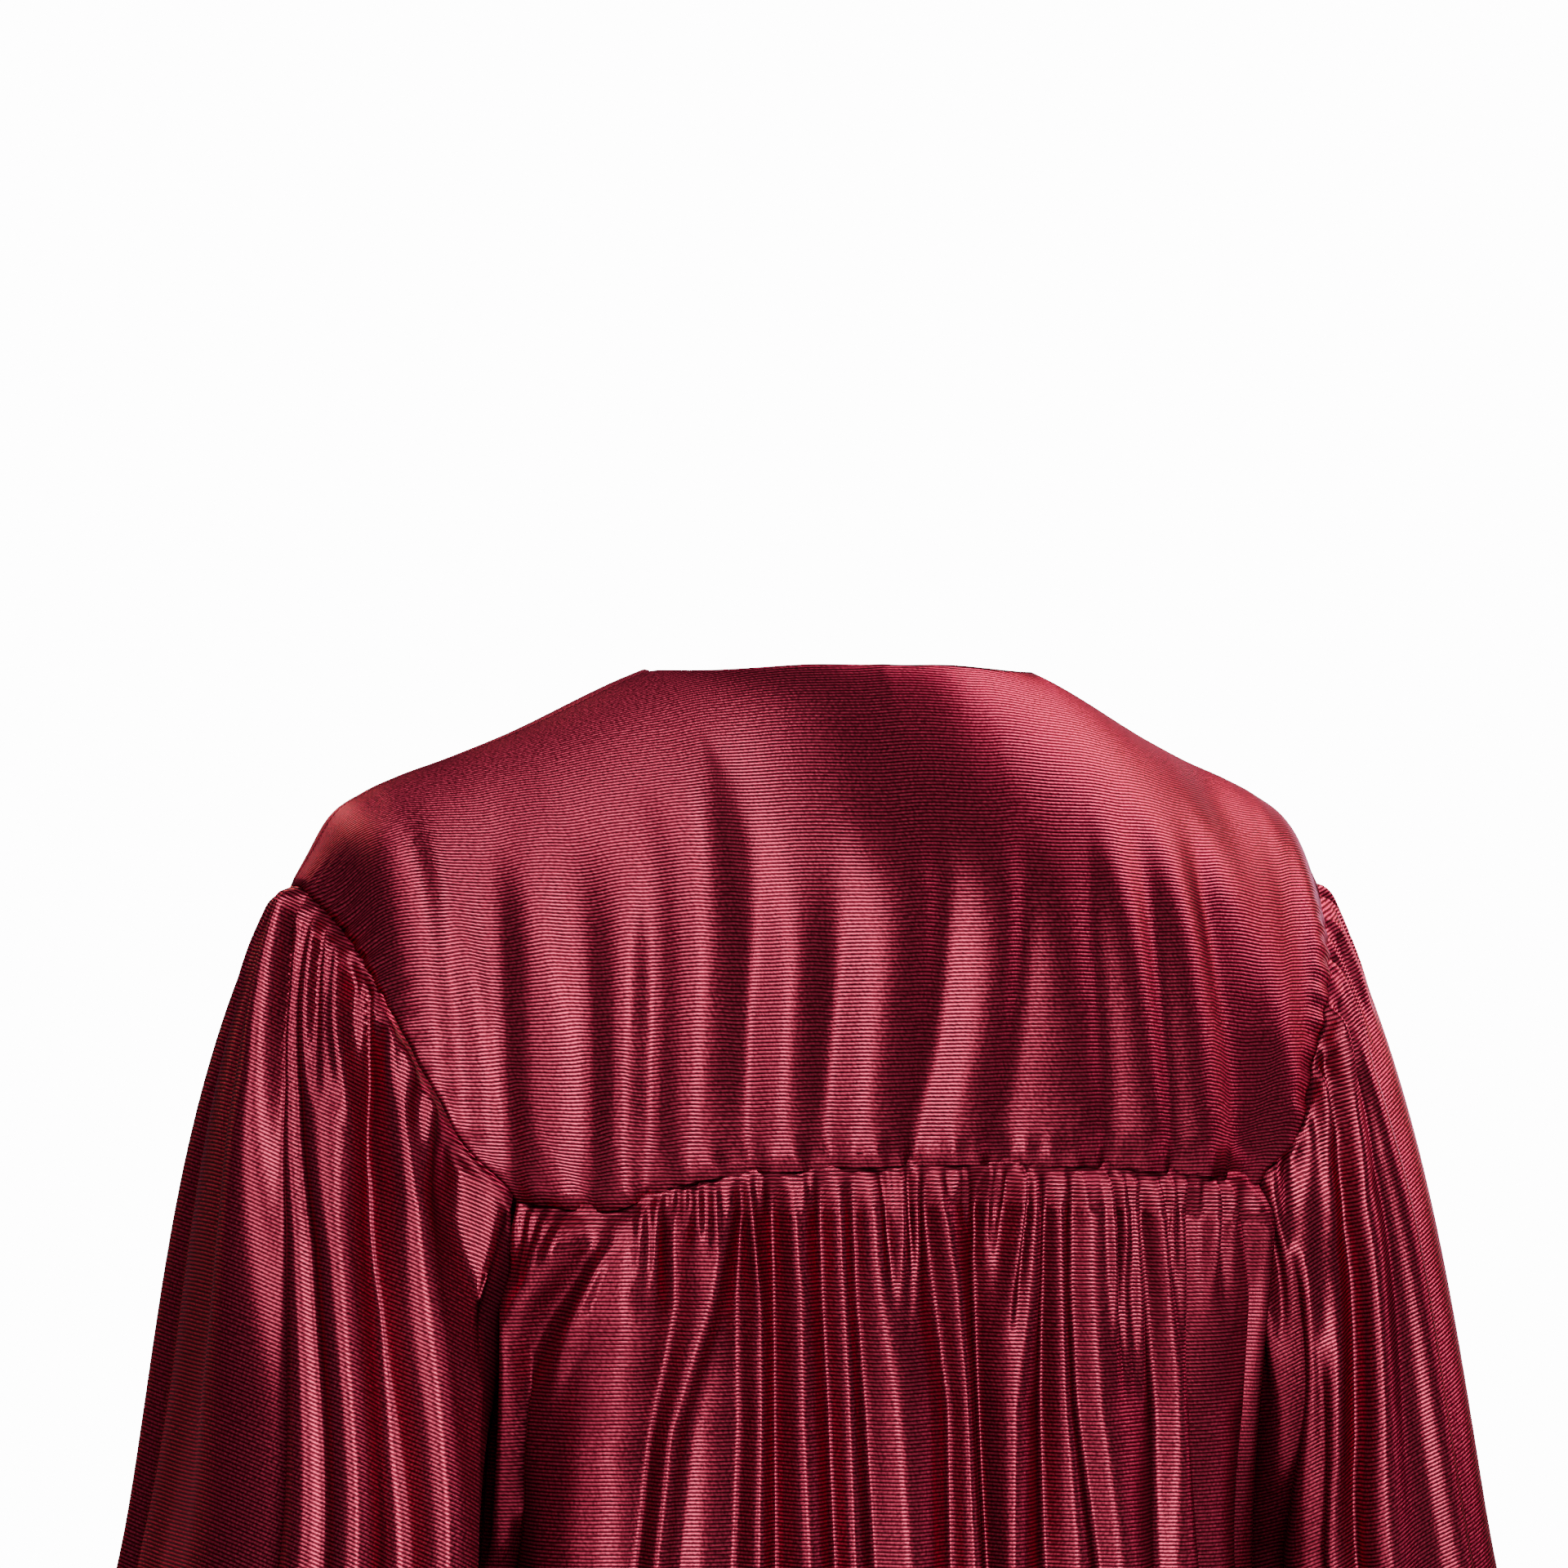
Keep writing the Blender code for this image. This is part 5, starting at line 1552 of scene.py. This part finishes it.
def make_camera():
    yaw = math.radians(YAW)
    towards = Vector((math.sin(yaw), math.cos(yaw), 0.0))
    bpy.ops.object.camera_add(location=Vector(AIM) + CAMERA_DISTANCE * towards)
    camera = bpy.context.object
    camera.name = "camera"
    camera.rotation_mode = "QUATERNION"
    camera.rotation_quaternion = (-towards).to_track_quat("-Z", "Y")
    camera.data.lens = LENS
    camera.data.sensor_width = SENSOR
    camera.data.clip_end = 50.0
    bpy.context.scene.camera = camera


def add_light(name, azimuth, elevation, distance, size, power):
    """A soft square light that looks at the shoulders, placed by its direction from them."""
    turn, rise = math.radians(azimuth), math.radians(elevation)
    towards = Vector((math.sin(turn) * math.cos(rise), math.cos(turn) * math.cos(rise), math.sin(rise)))
    bpy.ops.object.light_add(type="AREA", location=Vector(AIM) + distance * towards)
    light = bpy.context.object
    light.name = name
    light.rotation_mode = "QUATERNION"
    light.rotation_quaternion = (-towards).to_track_quat("-Z", "Y")
    light.data.size = size
    light.data.energy = power


def make_stage():
    """A pale floor below the hem, a white surround and soft lights."""
    bpy.ops.mesh.primitive_cylinder_add(vertices=96, radius=FLOOR_RADIUS, depth=0.02,
                                        location=(0.0, 0.0, FLOOR_HEIGHT - 0.01))
    material, tree, shader = new_material("pale_floor")
    shader.inputs["Base Color"].default_value = (0.82, 0.82, 0.82, 1.0)
    shader.inputs["Roughness"].default_value = 0.8
    floor = named(bpy.context.object, "floor", material)
    world = bpy.data.worlds.new("studio")
    bpy.context.scene.world = world
    world.use_nodes = True
    tree = world.node_tree
    back = tree.nodes["Background"]
    seen = node(tree, "ShaderNodeLightPath").outputs["Is Camera Ray"]
    tree.links.new(map_range(tree, seen, 0.0, 1.0, 0.10, 14.0), back.inputs["Strength"])
    back.inputs["Color"].default_value = (1.0, 1.0, 1.0, 1.0)
    add_light("key", 12.0, 26.0, 2.8, 0.8, 125.0)
    add_light("left_soft", 50.0, 38.0, 2.8, 1.3, 75.0)
    add_light("right_soft", -100.0, 40.0, 2.8, 1.7, 190.0)
    add_light("front_key", 165.0, 28.0, 3.0, 0.8, 60.0)
    add_light("front_fill", -130.0, 10.0, 3.0, 1.0, 30.0)


# Pieces

def make_cloth(satin):
    panel_shares = stations(PANEL_ROWS)
    sleeve_shares = stations(SLEEVE_ROWS)
    yoke_shares = np.linspace(0.0, 1.0, YOKE_ROWS + 1)
    pieces = [
        ("back_panel_satin", "back_panel", "gathered", ["yoke_back"],
         cloth_shell("back_panel_satin", BACK_COLUMNS, panel_shares, back_form, back_relief, from_top, satin,
                     under=("top",), tuck=BACK_TUCK, level=True)),
        ("yoke_back_satin", "yoke_back", "hung", ["yoke_front_left", "yoke_front_right"],
         cloth_shell("yoke_back_satin", YOKE_COLUMNS, yoke_shares, back_yoke_form, back_yoke_relief,
                     over_shoulder, satin)),
    ]
    for side, word in ((1, "left"), (-1, "right")):
        side_edge = "end" if side > 0 else "start"
        pieces.append(("front_panel_%s_satin" % word, "front_panel_" + word, "gathered",
                       ["yoke_front_" + word],
                       cloth_shell("front_panel_%s_satin" % word, FRONT_COLUMNS, panel_shares,
                                   front_form(side), front_relief(side), from_top, satin,
                                   under=("top", side_edge), tuck=FRONT_TUCK, level=True)))
        pieces.append(("yoke_front_%s_satin" % word, "yoke_front_" + word, "hung", ["yoke_back"],
                       cloth_shell("yoke_front_%s_satin" % word, FRONT_YOKE_COLUMNS, yoke_shares,
                                   front_yoke_form(side), front_yoke_relief(side), over_shoulder, satin,
                                   under=("top",), tuck=SHOULDER_TUCK)))
    arms = ((1, "left", LEFT_SLEEVE, LEFT_SLEEVE_FOLDS, LEFT_SLEEVE_CREASES, LEFT_HEAD_GATHERS),
            (-1, "right", RIGHT_SLEEVE, RIGHT_SLEEVE_FOLDS, RIGHT_SLEEVE_CREASES, RIGHT_HEAD_GATHERS))
    for side, word, rings, folds, creases, gathers in arms:
        def form(u, v, side=side, rings=rings, folds=folds):
            return sleeve_form(rings, folds, side * (360.0 * u - 180.0), sleeve_down(v), side)
        pieces.append(("sleeve_%s_satin" % word, "sleeve_" + word, "gathered",
                       ["yoke_back", "yoke_front_" + word],
                       cloth_shell("sleeve_%s_satin" % word, SLEEVE_COLUMNS, sleeve_shares, form,
                                   sleeve_relief(creases, gathers, side), along_arm(side, RIB_SLOPE),
                                   satin, closed=True, under=("top",), tuck=SLEEVE_TUCK)))
    for name, solid, held, rests_on, obj in pieces:
        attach(obj, "gown")
        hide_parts(solid)


def main():
    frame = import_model()
    bpy.ops.object.select_all(action="DESELECT")
    make_camera()
    make_stage()
    satin = satin_material(ribbed_cloth_group())
    make_cloth(satin)
    make_sewing(thread_material())
    pin = Vector(frame["record"]["behaviour"]["joints"][0]["pos_m"])
    frame["nodes"]["zip_tape"].data.materials[0] = tape_material()
    make_teeth(teeth_material())
    enamel = enamel_material()
    make_slider(enamel, pin)
    make_pull_tab(enamel, pin)
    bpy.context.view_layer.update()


main()
